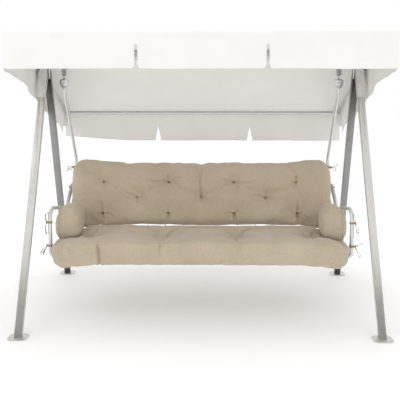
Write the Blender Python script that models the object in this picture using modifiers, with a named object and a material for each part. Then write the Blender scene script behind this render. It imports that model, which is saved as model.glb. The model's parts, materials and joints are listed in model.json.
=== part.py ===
"""Canopy swing bench: A-frame stand, seat hung on springs, tilting fabric canopy.

Metres, +Z up, the bench faces -Y. The origin is on the ground, in the middle of the canopy's outline.
"""
import math

import bmesh
import bpy
from mathutils import Matrix, Vector

# --- clearances -------------------------------------------------------------
gap = 0.0003            # between pieces that touch
boltClear = 0.0004      # radial play of a bolt in its hole
loopClear = 0.001       # between a spring loop and the hole or eye it hangs in

# --- stand ------------------------------------------------------------------
legFootX = 1.023        # distance of a leg from the middle plane at the ground
legLeanIn = 0.03        # how much nearer it is at its top
legTopX = legFootX - legLeanIn
legSpread = 0.62        # foot to the crossbar's plane, along Y
legWidth = 0.045
legDepth = 0.025
legWall = 0.002
legCorner = 0.004
apexZ = 1.605           # where the two leg centre lines would meet
legTan = legSpread / apexZ
legCos = math.cos(math.atan(legTan))
legTopGap = 0.00205     # half the room between the two legs where they end
legTopZ = apexZ - (legDepth / 2 / legCos + legTopGap) / legTan
plateLength = 0.11
plateDepth = 0.10
plateThick = 0.005
plateChamfer = 0.018
pegHoleRadius = 0.006
pegHoleInset = 0.017
crossbarZ = apexZ - 0.001
crossbarHeight = 0.04
crossbarDepth = 0.05
crossbarWall = 0.002
strapThick = 0.003
strapBottomZ = apexZ - 0.259
strapShoulderZ = apexZ - 0.055
cheekArchZ = apexZ - 0.15
strapBoltHeights = (apexZ - 0.113, apexZ - 0.195)
rivetHeight = apexZ - 0.233
strapBoltRadius = 0.004
strapBoltHead = 0.0085
rivetHead = 0.007
strapHoleDepth = 0.02
cheekArchHalf = 0.03
braceRadius = 0.005
braceFootZ = apexZ - 0.145
braceBend = 0.045
braceInset = 0.05       # straight length under the crossbar

# --- swing suspension -------------------------------------------------------
hangerX = legTopX - 0.113
eyeRingRadius = 0.012
eyeWire = 0.003
eyeShankLength = 0.003
eyeShankRadius = 0.006
springWire = 0.00225
springCoilRadius = 0.0155
springTurns = 6
springTopLoop = 0.009
springBottomLoop = 0.011
springNeck = 0.008
springCoilLength = 0.064

# --- seat frame -------------------------------------------------------------
hangerRadius = 0.011
hangerTaper = 0.3           # the flattened top end, as a share of the tube's radius
hangerBendRadius = 0.05
hangerPlateWidth = 0.056
hangerPlateThick = 0.004
hangerPlateHole = 0.006
hangerPlateEdge = 0.008     # material above the hole
hangerPlateHeight = 0.062
hangerBendY = 0.335
hangerBendZ = 0.905
hangerEndY = 0.15
hangerEndZ = 0.35
frameRadius = 0.0125
seatRailZ = 0.368
seatFrontY = -0.268
seatRearInset = 0.01        # rear rail in front of the hanger tubes' ends
frameCorner = 0.04
socketWall = 0.0025
socketLength = 0.02
socketSink = 0.004          # how far the socket runs into the side rail
backTopDrop = 0.05          # below the hanger bend, along the backrest
backBottomRise = 0.09
gridWire = 0.0025
gridCell = 0.12
armX = hangerX + 0.044
armRadius = 0.013
armPostY = -0.255
armTopZ = 0.672
armDipY = 0.10              # low point of the arm, just in front of the backrest
armDipZ = 0.60
armBackZ = 0.718
armEnd = 0.022              # past the rear bolt
armBend = 0.06
armFootBend = 0.03
armBoltRadius = 0.004
armBoltHead = 0.0085

# --- cushions and ties ------------------------------------------------------
cushionHalfWidth = hangerX + 0.002
seatCushionFrontY = -0.365
seatCushionRearY = 0.115
seatCushionThick = 0.10
seatCushionDrop = 0.08      # how far the front hangs below the cushion's underside
backCushionThick = 0.105
backCushionTopZ = 0.885
cushionEdge = 0.03
seatCushionEdge = 0.02
armCushionWidth = 0.15
armCushionHeight = 0.187
armCushionFrontY = -0.225
armCushionRearY = 0.02
cushionGap = 0.0015
tieThick = 0.0025
tieHeight = 0.022
tieTail = 0.075
tieTailWidth = 0.016
tieTailThick = 0.003
backTieDrop = 0.055         # below the hanger tubes' bend
armTieZ = 0.58
seatTieZ = 0.435

# --- canopy -----------------------------------------------------------------
canopyFrontY = -0.67        # from the crossbar's plane to the front valance
canopyRearY = 0.77
fabricThick = 0.003
railRadius = 0.01
railWall = 0.0015
railEnd = 0.01              # from the side flaps to a rail's end
frontRailZ = apexZ + 0.095
rearRailZ = apexZ - 0.395
ridgeClear = 0.002          # between the cloth and the brackets' crowns, at any tilt
valanceDrop = 0.2
rearValanceDrop = 0.208
slitWidth = 0.02
slitHeight = 0.1
hemRadius = 0.025
sideScallops = 6
scallopDepth = 0.012
tiltZ = apexZ - 0.06
canopyArmRadius = 0.006
canopyArmClear = 0.0005     # between the arm and the bracket's cheek
knobClear = 0.0045          # between the knob and the side flap
canopyEyeRadius = 0.014
canopyEyeThick = 0.008
knobRadius = 0.03
knobThick = 0.012
knobStud = 0.0045
knobLobes = 5
knobLobeDepth = 0.004
railCapLength = 0.012
railPlugLength = 0.012

apexY = -(canopyFrontY + canopyRearY) / 2   # the crossbar's plane, with the origin in the canopy's middle

objectName = "canopy_swing_bench"
modelCollection = None
cutterCollection = None


# --- scene set-up -----------------------------------------------------------
def clearScene():
    for old in list(bpy.data.objects):
        bpy.data.objects.remove(old, do_unlink=True)


def newCollection(name):
    collection = bpy.data.collections.new(name)
    bpy.context.scene.collection.children.link(collection)
    return collection


def linearColour(hexColour):
    values = [int(hexColour[i:i + 2], 16) / 255 for i in (0, 2, 4)]
    return [v / 12.92 if v <= 0.04045 else ((v + 0.055) / 1.055) ** 2.4 for v in values] + [1.0]


def makeMaterial(name, hexColour, roughness, metallic):
    material = bpy.data.materials.new(name)
    material.use_nodes = True
    shader = material.node_tree.nodes["Principled BSDF"]
    shader.inputs["Base Color"].default_value = linearColour(hexColour)
    shader.inputs["Roughness"].default_value = roughness
    shader.inputs["Metallic"].default_value = metallic
    return material


def galvanised(name):
    return makeMaterial(name, "A9ABAC", 0.42, 1.0)


def brightZinc(name):
    return makeMaterial(name, "D2D4D5", 0.3, 1.0)


def darkSteel(name):
    return makeMaterial(name, "4A4A4B", 0.45, 1.0)


def silverPaint(name):
    return makeMaterial(name, "C9CBCC", 0.38, 0.6)


def blackPlastic(name):
    return makeMaterial(name, "1B1B1C", 0.5, 0.0)


def whitePlastic(name):
    return makeMaterial(name, "E8E8E5", 0.4, 0.0)


def canopyCloth(name):
    return makeMaterial(name, "ECE9E4", 0.9, 0.0)


def cushionCloth(name):
    return makeMaterial(name, "B5A68C", 0.92, 0.0)


# --- modelling helpers ------------------------------------------------------
def place(obj, material, smooth=True):
    for collection in list(obj.users_collection):
        collection.objects.unlink(obj)
    modelCollection.objects.link(obj)
    obj.data.materials.clear()
    obj.data.materials.append(material(obj.name))
    if smooth:
        obj.data.shade_smooth()
        obj.data.set_sharp_from_angle(angle=math.radians(35))
    return obj


def meshObject(name, mesh, matrix=None):
    obj = bpy.data.objects.new(name, mesh)
    modelCollection.objects.link(obj)
    if matrix is not None:
        obj.matrix_world = matrix
    return obj


def curveToMesh(curveObj):
    """Turn a curve object into a mesh object with welded caps."""
    bpy.context.view_layer.update()
    depsgraph = bpy.context.evaluated_depsgraph_get()
    mesh = bpy.data.meshes.new_from_object(curveObj.evaluated_get(depsgraph))
    bm = bmesh.new()
    bm.from_mesh(mesh)
    bmesh.ops.remove_doubles(bm, verts=bm.verts, dist=0.00002)
    bmesh.ops.recalc_face_normals(bm, faces=bm.faces)
    bm.to_mesh(mesh)
    bm.free()
    name = curveObj.name
    matrix = curveObj.matrix_world.copy()
    bpy.data.objects.remove(curveObj, do_unlink=True)
    return meshObject(name, mesh, matrix)


def rodAlong(name, points, radius, resolution=3, cyclic=False, scales=None):
    """Round rod through the points, as a curve with filled caps turned into a mesh."""
    curve = bpy.data.curves.new(name, "CURVE")
    curve.dimensions = "3D"
    curve.bevel_depth = radius
    curve.bevel_resolution = resolution
    curve.use_fill_caps = not cyclic
    curve.twist_mode = "MINIMUM"
    spline = curve.splines.new("POLY")
    spline.points.add(len(points) - 1)
    for i, point in enumerate(points):
        spline.points[i].co = (*point, 1.0)
        if scales:
            spline.points[i].radius = scales[i]
    spline.use_cyclic_u = cyclic
    obj = bpy.data.objects.new(name, curve)
    modelCollection.objects.link(obj)
    return curveToMesh(obj)


def tubeAlong(name, points, radius, wall, resolution=3):
    """Open-ended round tube: an uncapped sweep given its wall by Solidify."""
    curve = bpy.data.curves.new(name, "CURVE")
    curve.dimensions = "3D"
    curve.bevel_depth = radius
    curve.bevel_resolution = resolution
    curve.twist_mode = "MINIMUM"
    spline = curve.splines.new("POLY")
    spline.points.add(len(points) - 1)
    for i, point in enumerate(points):
        spline.points[i].co = (*point, 1.0)
    obj = bpy.data.objects.new(name, curve)
    modelCollection.objects.link(obj)
    obj = curveToMesh(obj)
    solidify = obj.modifiers.new("wall", "SOLIDIFY")
    solidify.thickness = wall
    solidify.offset = -1
    solidify.use_even_offset = True
    return obj


def outlineSolid(name, outline, thickness, holes=(), rotation=(0, 0, 0), location=(0, 0, 0)):
    """Flat outline (with holes) as a filled 2D curve, extruded to its thickness."""
    curve = bpy.data.curves.new(name, "CURVE")
    curve.dimensions = "2D"
    curve.fill_mode = "BOTH"
    curve.extrude = thickness / 2
    for ring in (outline, *holes):
        spline = curve.splines.new("POLY")
        spline.points.add(len(ring) - 1)
        for i, point in enumerate(ring):
            spline.points[i].co = (point[0], point[1], 0, 1)
        spline.use_cyclic_u = True
    obj = bpy.data.objects.new(name, curve)
    obj.rotation_euler = [math.radians(a) for a in rotation]
    obj.location = location
    modelCollection.objects.link(obj)
    return curveToMesh(obj)


def cylinder(name, radius, depth, location, axis="Z", sides=16):
    mesh = bpy.data.meshes.new(name)
    bm = bmesh.new()
    bmesh.ops.create_cone(bm, cap_ends=True, segments=sides, radius1=radius, radius2=radius, depth=depth)
    bm.to_mesh(mesh)
    bm.free()
    turns = {"X": Matrix.Rotation(math.pi / 2, 4, "Y"), "Y": Matrix.Rotation(math.pi / 2, 4, "X"),
             "Z": Matrix.Identity(4)}
    return meshObject(name, mesh, Matrix.Translation(location) @ turns[axis])


def block(name, low, high):
    """Plain box between two corners."""
    low = Vector(low)
    high = Vector(high)
    mesh = bpy.data.meshes.new(name)
    bm = bmesh.new()
    bmesh.ops.create_cube(bm, size=1)
    bmesh.ops.scale(bm, verts=bm.verts, vec=high - low)
    bm.to_mesh(mesh)
    bm.free()
    return meshObject(name, mesh, Matrix.Translation((low + high) / 2))


def roundedBox(name, low, high, edge, segments=3):
    """Box between two corners with rounded edges."""
    obj = block(name, low, high)
    bevel = obj.modifiers.new("edge", "BEVEL")
    bevel.width = edge
    bevel.segments = segments
    return obj


def asCutter(obj):
    modelCollection.objects.unlink(obj)
    cutterCollection.objects.link(obj)
    obj.hide_render = True
    obj.display_type = "WIRE"
    return obj


def boolean(obj, other, operation):
    modifier = obj.modifiers.new(operation.lower(), "BOOLEAN")
    modifier.operation = operation
    modifier.object = asCutter(other)
    return obj


def arcPoints(centre, radius, start, end, steps):
    angles = [math.radians(start + (end - start) * i / steps) for i in range(steps + 1)]
    return [(centre[0] + radius * math.cos(a), centre[1] + radius * math.sin(a)) for a in angles]


def filletPath(points, radius, steps=6):
    """Polyline whose inner corners are replaced by arcs of the given radius."""
    points = [Vector(p) for p in points]
    result = [points[0]]
    for before, corner, after in zip(points, points[1:], points[2:]):
        toBefore = (before - corner).normalized()
        toAfter = (after - corner).normalized()
        half = toBefore.angle(toAfter) / 2
        reach = radius / math.tan(half)
        centre = corner + (toBefore + toAfter).normalized() * (radius / math.sin(half))
        start = (corner + toBefore * reach - centre).normalized()
        end = (corner + toAfter * reach - centre).normalized()
        for i in range(steps + 1):
            result.append(centre + start.slerp(end, i / steps) * radius)
    result.append(points[-1])
    return result


def roundedRectangle(width, height, radius, steps=3):
    x = width / 2 - radius
    y = height / 2 - radius
    points = []
    for cx, cy, start in ((x, y, 0), (-x, y, 90), (-x, -y, 180), (x, -y, 270)):
        points += arcPoints((cx, cy), radius, start, start + 90, steps)
    return points


def rectangularTube(name, width, depth, wall, corner, start, end):
    """Open-ended rectangular tube from start to end; its width lies along X where it can."""
    start = Vector(start)
    end = Vector(end)
    length = (end - start).length
    outer = roundedRectangle(width, depth, corner)
    inner = roundedRectangle(width - 2 * wall, depth - 2 * wall, corner - wall / 2)
    obj = outlineSolid(name, outer, length, holes=[inner])
    direction = (end - start).normalized()
    if abs(direction.x) > 0.9:
        side = Vector((0, 1, 0))
    else:
        side = Vector((1, 0, 0))
    third = direction.cross(side).normalized()
    turn = Matrix((side, third, direction)).transposed().to_4x4()
    obj.matrix_world = Matrix.Translation((start + end) / 2) @ turn
    return obj


def sideName(side):
    return "right" if side > 0 else "left"


# --- stand ------------------------------------------------------------------
def legCentreY(z):
    """Distance of a leg's centre line from the apex plane at a height."""
    return (apexZ - z) * legTan


def legMiddleX(z):
    """Distance of a leg's centre line from the middle plane at a height: the legs splay outwards."""
    return legFootX + (legTopX - legFootX) * z / legTopZ


def legOuterY(z):
    return legCentreY(z) + legDepth / 2 / legCos


def makeLeg(side, end):
    """Rectangular tube leaned towards the apex plane, both ends cut level."""
    name = f"leg_{'front' if end < 0 else 'rear'}_{sideName(side)}"
    lowZ = plateThick + gap
    depth = legDepth / legCos
    wall = legWall / legCos
    outer = roundedRectangle(legWidth, depth, legCorner)
    inner = roundedRectangle(legWidth - 2 * legWall, depth - 2 * wall, legCorner - legWall / 2)
    obj = outlineSolid(name, outer, legTopZ - lowZ, [inner])
    lean = Matrix.Identity(4)
    lean[0][2] = side * (legTopX - legFootX) / legTopZ
    lean[1][2] = -end * legTan
    obj.data.transform(lean)
    middleZ = (lowZ + legTopZ) / 2
    obj.location = (side * legMiddleX(middleZ), apexY + end * legCentreY(middleZ), middleZ)
    if end < 0:
        drillStrapHoles(obj, side)
    return place(obj, galvanised)


def makeFootPlate(side, end):
    name = f"foot_plate_{'front' if end < 0 else 'rear'}_{sideName(side)}"
    x = plateLength / 2
    y = plateDepth / 2
    c = plateChamfer
    outline = [(x - c, -y), (x, -y + c), (x, y - c), (x - c, y),
               (-x + c, y), (-x, y - c), (-x, -y + c), (-x + c, -y)]
    holeX = side * (x - pegHoleInset)
    holeY = end * (y - pegHoleInset)
    hole = arcPoints((holeX, holeY), pegHoleRadius, 0, 345, 11)
    obj = outlineSolid(name, outline, plateThick, [hole],
                       location=(side * legFootX, apexY + end * legSpread, plateThick / 2))
    return place(obj, galvanised, smooth=False)


bracketX = legMiddleX(strapBottomZ)


def strapOutline(bottomZ, offset, crownZ, arch):
    """Outline in the Y-Z plane of the apex bracket, offset outward from the legs' outer faces."""
    slope = offset / legCos
    shoulder = legOuterY(strapShoulderZ) + gap + offset
    bottom = legOuterY(bottomZ) + gap + slope
    points = [(-bottom, bottomZ), (-shoulder, strapShoulderZ), (-shoulder, crownZ + offset),
              (shoulder, crownZ + offset), (shoulder, strapShoulderZ), (bottom, bottomZ)]
    if arch:
        inside = bottom - legDepth / legCos
        points += [(inside, bottomZ), (cheekArchHalf, cheekArchZ)]
        points += [(-cheekArchHalf, cheekArchZ), (-inside, bottomZ)]
    return points


def makeApexBracket(side):
    """Pressed channel: a strap over both legs with a cheek on the outer side."""
    name = f"apex_bracket_{sideName(side)}"
    crownZ = crossbarZ + crossbarHeight / 2 + gap
    innerX = bracketX - legWidth / 2
    outerX = bracketX + legWidth / 2 + gap + strapThick
    width = outerX - innerX
    obj = outlineSolid(name, strapOutline(strapBottomZ, strapThick, crownZ, True), width,
                       rotation=(90, 0, 90), location=(side * (innerX + width / 2), apexY, 0))
    room = outlineSolid(f"{name}_room", strapOutline(strapBottomZ - 0.05, 0, crownZ, False), width,
                        rotation=(90, 0, 90), location=(side * (innerX + width / 2 - strapThick), apexY, 0))
    boolean(obj, room, "DIFFERENCE")
    stud = cylinder(f"{name}_stud_hole", knobStud + boltClear, 0.03, (side * outerX, apexY, tiltZ), "X")
    boolean(obj, stud, "DIFFERENCE")
    drillStrapHoles(obj, side)
    return place(obj, brightZinc, smooth=False)


def frontBoltMatrix(side, height):
    """Place on the strap's front face, local +Z pointing out of it."""
    faceY = apexY - legOuterY(height) - gap - strapThick / legCos
    tilt = math.atan(legTan)
    return Matrix.Translation((side * bracketX, faceY, height)) @ Matrix.Rotation(math.pi / 2 - tilt, 4, "X")


def drillStrapHoles(obj, side):
    for height in strapBoltHeights + (rivetHeight,):
        name = f"{obj.name}_hole_{int(height * 1000)}"
        hole = cylinder(name, strapBoltRadius + boltClear, strapHoleDepth, (0, 0, 0))
        hole.matrix_world = frontBoltMatrix(side, height)
        boolean(obj, hole, "DIFFERENCE")


def makeFrontBolt(name, side, height, headRadius, rounded):
    """Bolt or rivet: turned profile with its head outside the strap and its shank through it."""
    if rounded:
        head = [(headRadius * math.cos(a), 0.0003 + 0.55 * headRadius * math.sin(a))
                for a in [math.radians(90 - 15 * i) for i in range(7)]]
    else:
        head = [(0, 0.0058), (headRadius - 0.0012, 0.0058), (headRadius, 0.0046), (headRadius, gap)]
    shank = strapThick + gap + legWall + 0.002
    profile = head + [(strapBoltRadius, gap), (strapBoltRadius, -shank), (0, -shank)]
    obj = turned(name, profile, 12 if rounded else 6)
    obj.matrix_world = frontBoltMatrix(side, height)
    return place(obj, brightZinc)


def turned(name, profile, steps):
    """Turn an X-Z profile, listed down its outer side, about the local Z axis."""
    mesh = bpy.data.meshes.new(name)
    bm = bmesh.new()
    verts = [bm.verts.new((x, 0, z)) for x, z in profile]
    for first, second in zip(verts, verts[1:]):
        bm.edges.new((first, second))
    bm.to_mesh(mesh)
    bm.free()
    obj = meshObject(name, mesh)
    screw = obj.modifiers.new("turn", "SCREW")
    screw.steps = steps
    screw.render_steps = steps
    screw.use_merge_vertices = True
    screw.merge_threshold = 0.00001
    return obj


def makeCrossbar():
    end = bracketX + legWidth / 2 - gap
    obj = rectangularTube("crossbar", crossbarDepth, crossbarHeight, crossbarWall, legCorner,
                          (-end, apexY, crossbarZ), (end, apexY, crossbarZ))
    return place(obj, galvanised)


def makeBrace(side):
    """Thin rod that rises along the leg's inner face and bends in under the crossbar."""
    x = legMiddleX(legTopZ) - legWidth / 2 - braceRadius - gap
    topZ = crossbarZ - crossbarHeight / 2 - braceRadius - gap
    braceY = apexY - legCentreY((braceFootZ + topZ) / 2)
    path = filletPath([(side * x, braceY, braceFootZ), (side * x, braceY, topZ),
                       (side * (x - braceBend - braceInset), braceY, topZ)], braceBend, 8)
    obj = rodAlong(f"crossbar_brace_{sideName(side)}", path, braceRadius)
    return place(obj, silverPaint)


eyeZ = crossbarZ - crossbarHeight / 2 - gap - eyeShankLength - eyeRingRadius - eyeWire
swingZ = eyeZ - (eyeRingRadius - eyeWire - springWire - loopClear)   # axis of the spring loop in the eye


def makeHookEye(side):
    """Eye under the crossbar; its hole faces sideways, so the spring loop rocks in it."""
    name = f"hook_eye_{sideName(side)}"
    ring = [(side * hangerX, apexY + eyeRingRadius * math.cos(a), eyeZ + eyeRingRadius * math.sin(a))
            for a in [2 * math.pi * i / 20 for i in range(20)]]
    obj = rodAlong(name, ring, eyeWire, 2, cyclic=True)
    top = crossbarZ - crossbarHeight / 2 - gap
    ringTop = eyeZ + eyeRingRadius
    middle = (side * hangerX, apexY, (top + ringTop) / 2)
    stem = cylinder(f"{name}_stem", eyeShankRadius, top - ringTop, middle, "Z", 12)
    boolean(obj, stem, "UNION")
    return place(obj, brightZinc)


# --- suspension -------------------------------------------------------------
def springPath():
    """Centre line of the spring from the top loop's open end to the bottom loop's."""
    topZ = swingZ
    loopZ = topZ - springTopLoop
    points = []
    for angle in range(-50, 271, 20):
        a = math.radians(angle)
        points.append((springTopLoop * math.cos(a), 0, loopZ + springTopLoop * math.sin(a)))
    coilTop = loopZ - springTopLoop
    stepsPerTurn = 12
    easing = 7
    total = springTurns * stepsPerTurn + 9
    for i in range(1, total + 1):
        angle = 2 * math.pi * i / stepsPerTurn
        spread = min(1, i / easing, (total - i) / easing)
        radius = springCoilRadius * math.sin(spread * math.pi / 2)
        z = coilTop - springCoilLength * i / total
        points.append((radius * math.cos(angle), radius * math.sin(angle), z))
    neckZ = coilTop - springCoilLength - springNeck
    lowZ = neckZ - springBottomLoop
    for angle in range(90, -231, -20):
        a = math.radians(angle)
        points.append((0, springBottomLoop * math.cos(a), lowZ + springBottomLoop * math.sin(a)))
    return points


springLowZ = (swingZ - 2 * springTopLoop - springCoilLength - springNeck - 2 * springBottomLoop)
plateHoleZ = springLowZ - (hangerPlateHole - springWire - loopClear)


def makeSpring(side):
    points = [(side * hangerX + x, apexY + y, z) for x, y, z in springPath()]
    obj = rodAlong(f"spring_{sideName(side)}", points, springWire, 2)
    return place(obj, darkSteel)


# --- seat frame -------------------------------------------------------------
backAngle = math.atan2(hangerBendY - hangerEndY, hangerBendZ - hangerEndZ)   # lean from upright
backUp = Vector((0, math.sin(backAngle), math.cos(backAngle)))
backFront = Vector((0, -math.cos(backAngle), math.sin(backAngle)))
backFoot = Vector((0, apexY + hangerEndY, hangerEndZ))
frameHalfWidth = hangerX - hangerRadius - frameRadius - gap


def makeHangerTube(side):
    """Bent tube with a holed plate at its top, running down beside the backrest to the seat."""
    name = f"hanger_tube_{sideName(side)}"
    top = plateHoleZ - 0.028
    straight = plateHoleZ - hangerPlateHeight
    x = side * hangerX
    start = [(x, apexY, top), (x, apexY, straight)]
    bend = (x, apexY + hangerBendY, hangerBendZ)
    path = filletPath([*start, bend, (x, apexY + hangerEndY, hangerEndZ)], hangerBendRadius, 6)
    scales = [hangerTaper] + [1.0] * (len(path) - 1)
    obj = rodAlong(name, path, hangerRadius, 3, scales=scales)
    half = hangerPlateWidth / 2
    topZ = plateHoleZ + hangerPlateHole + hangerPlateEdge
    low = topZ - hangerPlateHeight
    outline = [(-half + 0.008, topZ), (-half, topZ - 0.01), (-half, topZ - 0.034), (-0.009, low),
               (0.009, low), (half, topZ - 0.034), (half, topZ - 0.01), (half - 0.008, topZ)]
    hole = arcPoints((0, plateHoleZ), hangerPlateHole, 0, 345, 15)
    plate = outlineSolid(f"{name}_plate", outline, hangerPlateThick, [hole], (90, 0, 0), (x, apexY, 0))
    boolean(obj, plate, "UNION")
    boolean(obj, rearBoltHole(f"{name}_bolt_hole", side), "DIFFERENCE")
    return place(obj, silverPaint)


def hangerPointAt(z):
    """Y of the hanger tube's lower run at a height."""
    return apexY + hangerEndY + (z - hangerEndZ) * math.tan(backAngle)


armRearX = hangerX + hangerRadius + armRadius + gap     # where the arm's rear end lies on the hanger tube
frameFaceX = frameHalfWidth + frameRadius


def rearBoltHole(name, side):
    middle = (side * armRearX, hangerPointAt(armBackZ), armBackZ)
    return cylinder(name, armBoltRadius + boltClear, 0.1, middle, "X", 12)


def socketBoltPlace(side):
    return (side * (frameFaceX + socketLength / 2), apexY + armPostY, seatRailZ)


def socketBoltHole(name, side):
    return cylinder(name, armBoltRadius + boltClear, 0.05, socketBoltPlace(side), "Z", 12)


def makeArmTube(side):
    """Armrest tube: from the hanger tube forward over a shallow dip, down as a post and in to its socket."""
    name = f"arm_tube_{sideName(side)}"
    x = side * armX
    postY = apexY + armPostY
    rise = Vector((0, hangerPointAt(armBackZ) - apexY - armDipY, armBackZ - armDipZ))
    end = Vector((side * armRearX, hangerPointAt(armBackZ), armBackZ)) + rise.normalized() * armEnd
    footTop = seatRailZ + armFootBend + gap
    dip = (side * armRearX, apexY + armDipY, armDipZ)
    foot = (side * (frameFaceX + gap), postY, seatRailZ)
    upper = filletPath([end, dip, (x, postY, armTopZ), (x, postY, footTop)], armBend, 8)
    lower = filletPath([(x, postY, footTop), (x, postY, seatRailZ), foot], armFootBend, 6)
    obj = rodAlong(name, upper + lower[1:], armRadius, 3)
    boolean(obj, rearBoltHole(f"{name}_rear_hole", side), "DIFFERENCE")
    boolean(obj, socketBoltHole(f"{name}_foot_hole", side), "DIFFERENCE")
    return place(obj, silverPaint)


def throughBolt(name, length, matrix):
    """Bolt with a round head; local +Z points out of the head."""
    r = armBoltRadius
    h = armBoltHead
    profile = [(0, 0.006), (h - 0.002, 0.0055), (h, 0.003), (h, gap), (r, gap), (r, -length), (0, -length)]
    obj = turned(name, profile, 12)
    obj.matrix_world = matrix
    return place(obj, darkSteel)


def makeArmBolts(side):
    turn = Matrix.Rotation(side * math.pi / 2, 4, "Y")
    outside = (side * (armRearX + armRadius), hangerPointAt(armBackZ), armBackZ)
    length = 2 * armRadius + 2 * hangerRadius - 0.002
    throughBolt(f"arm_bolt_rear_{sideName(side)}", length, Matrix.Translation(outside) @ turn)
    x, y, z = socketBoltPlace(side)
    under = (x, y, z - armRadius - gap - socketWall)
    matrix = Matrix.Translation(under) @ Matrix.Rotation(math.pi, 4, "X")
    throughBolt(f"arm_bolt_front_{sideName(side)}", 2 * armRadius, matrix)


seatRearY = hangerEndY - seatRearInset


def makeSeatFrame():
    """Rounded ring of tube under the seat cushion, with a short socket for each armrest's foot."""
    ring = roundedRectangle(2 * frameHalfWidth, seatRearY - seatFrontY, frameCorner, 6)
    middle = apexY + (seatRearY + seatFrontY) / 2
    obj = rodAlong("seat_frame", [(x, middle + y, seatRailZ) for x, y in ring], frameRadius, 3, cyclic=True)
    for side in (-1, 1):
        y = apexY + armPostY
        length = socketLength + socketSink
        socket = cylinder(f"socket_{sideName(side)}", armRadius + gap + socketWall, length,
                          (side * (frameFaceX - socketSink + length / 2), y, seatRailZ), "X")
        boolean(obj, socket, "UNION")
        room = cylinder(f"socket_room_{sideName(side)}", armRadius + gap, 2 * socketLength,
                        (side * (frameFaceX + socketLength), y, seatRailZ), "X")
        boolean(obj, room, "DIFFERENCE")
        boolean(obj, socketBoltHole(f"socket_hole_{sideName(side)}", side), "DIFFERENCE")
    return place(obj, silverPaint)


def backLength():
    return (Vector((0, apexY + hangerBendY, hangerBendZ)) - backFoot).length - backTopDrop


def makeBackFrame():
    """Rounded ring of tube behind the back cushion, in the hanger tubes' lower plane."""
    height = backLength() - backBottomRise
    ring = roundedRectangle(2 * frameHalfWidth, height, frameCorner, 6)
    centre = backFoot + backUp * (backBottomRise + height / 2)
    points = [centre + Vector((x, 0, 0)) + backUp * y for x, y in ring]
    return place(rodAlong("back_frame", points, frameRadius, 3, cyclic=True), silverPaint)


def wireGrid(name, width, height, matrix):
    """Welded wire panel: a plain grid turned into wires."""
    columns = round(width / gridCell)
    rows = round(height / gridCell)
    mesh = bpy.data.meshes.new(name)
    bm = bmesh.new()
    bmesh.ops.create_grid(bm, x_segments=columns, y_segments=rows, size=0.5)
    bmesh.ops.scale(bm, verts=bm.verts, vec=(width, height, 1))
    bm.to_mesh(mesh)
    bm.free()
    obj = meshObject(name, mesh, matrix)
    wire = obj.modifiers.new("wires", "WIREFRAME")
    wire.thickness = 2 * gridWire
    wire.use_boundary = True
    wire.use_replace = True
    wire.use_even_offset = True
    return place(obj, galvanised, smooth=False)


def makeSeatGrid():
    z = seatRailZ + frameRadius + gridWire + gap
    matrix = Matrix.Translation((0, apexY + (seatRearY + seatFrontY) / 2, z))
    return wireGrid("seat_grid", 2 * frameHalfWidth, seatRearY - seatFrontY, matrix)


def makeBackGrid():
    height = backLength() - backBottomRise
    centre = backFoot + backUp * (backBottomRise + height / 2) + backFront * (frameRadius + gridWire + gap)
    matrix = Matrix.Translation(centre) @ Matrix.Rotation(math.pi / 2 - backAngle, 4, "X")
    return wireGrid("back_grid", 2 * frameHalfWidth, height, matrix)


# --- cushions and ties ------------------------------------------------------
seatCushionBottom = seatRailZ + frameRadius + 2 * gridWire + 2 * gap + cushionGap
seatCushionTop = seatCushionBottom + seatCushionThick


def makeSeatCushion():
    """Pad on the seat grid whose front hangs down over the front rail, with rounded ends."""
    frontY = seatCushionFrontY
    railFace = seatFrontY - frameRadius - cushionGap
    top = seatCushionTop
    low = seatCushionBottom - seatCushionDrop
    r = cushionEdge
    lobe = (railFace - frontY) / 2
    rearRadius = seatCushionThick / 2 - 0.001
    rearY = seatCushionRearY - rearRadius
    outline = arcPoints((rearY, seatCushionBottom + rearRadius), rearRadius, -90, 0, 4)
    outline += arcPoints((rearY, top - rearRadius), rearRadius, 0, 90, 4)
    outline += arcPoints((frontY + r, top - r), r, 90, 180, 4)
    outline += arcPoints((frontY + lobe, low + lobe), lobe, 180, 360, 8)
    outline += [(railFace, seatCushionBottom)]
    obj = outlineSolid("seat_cushion", outline, 2 * cushionHalfWidth, rotation=(90, 0, 90),
                       location=(0, apexY, 0))
    bevel = obj.modifiers.new("edge", "BEVEL")
    bevel.width = seatCushionEdge
    bevel.segments = 3
    bevel.angle_limit = math.radians(60)
    return place(obj, cushionCloth)


def makeBackCushion():
    """Rounded box leaned along the backrest, standing level on the seat cushion."""
    low = seatCushionTop + cushionGap
    depth = backCushionThick / math.cos(backAngle)
    rear = (frameRadius + 2 * gridWire + 2 * gap + cushionGap) / math.cos(backAngle)
    height = backCushionTopZ - low
    obj = roundedBox("back_cushion", (-cushionHalfWidth, -depth / 2, -height / 2),
                     (cushionHalfWidth, depth / 2, height / 2), cushionEdge)
    lean = Matrix.Identity(4)
    lean[1][2] = math.tan(backAngle)
    obj.data.transform(lean)
    middleZ = (low + backCushionTopZ) / 2
    obj.matrix_world = Matrix.Translation((0, hangerPointAt(middleZ) - rear - depth / 2, middleZ))
    return place(obj, cushionCloth)


def makeArmCushion(side):
    outer = armRearX - armRadius - cushionGap
    low = seatCushionTop + cushionGap
    first = (side * outer, apexY + armCushionFrontY, low)
    second = (side * (outer - armCushionWidth), apexY + armCushionRearY, low + armCushionHeight)
    lows = [min(a, b) for a, b in zip(first, second)]
    highs = [max(a, b) for a, b in zip(first, second)]
    obj = roundedBox(f"arm_cushion_{sideName(side)}", lows, highs, cushionEdge)
    return place(obj, cushionCloth)


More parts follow.
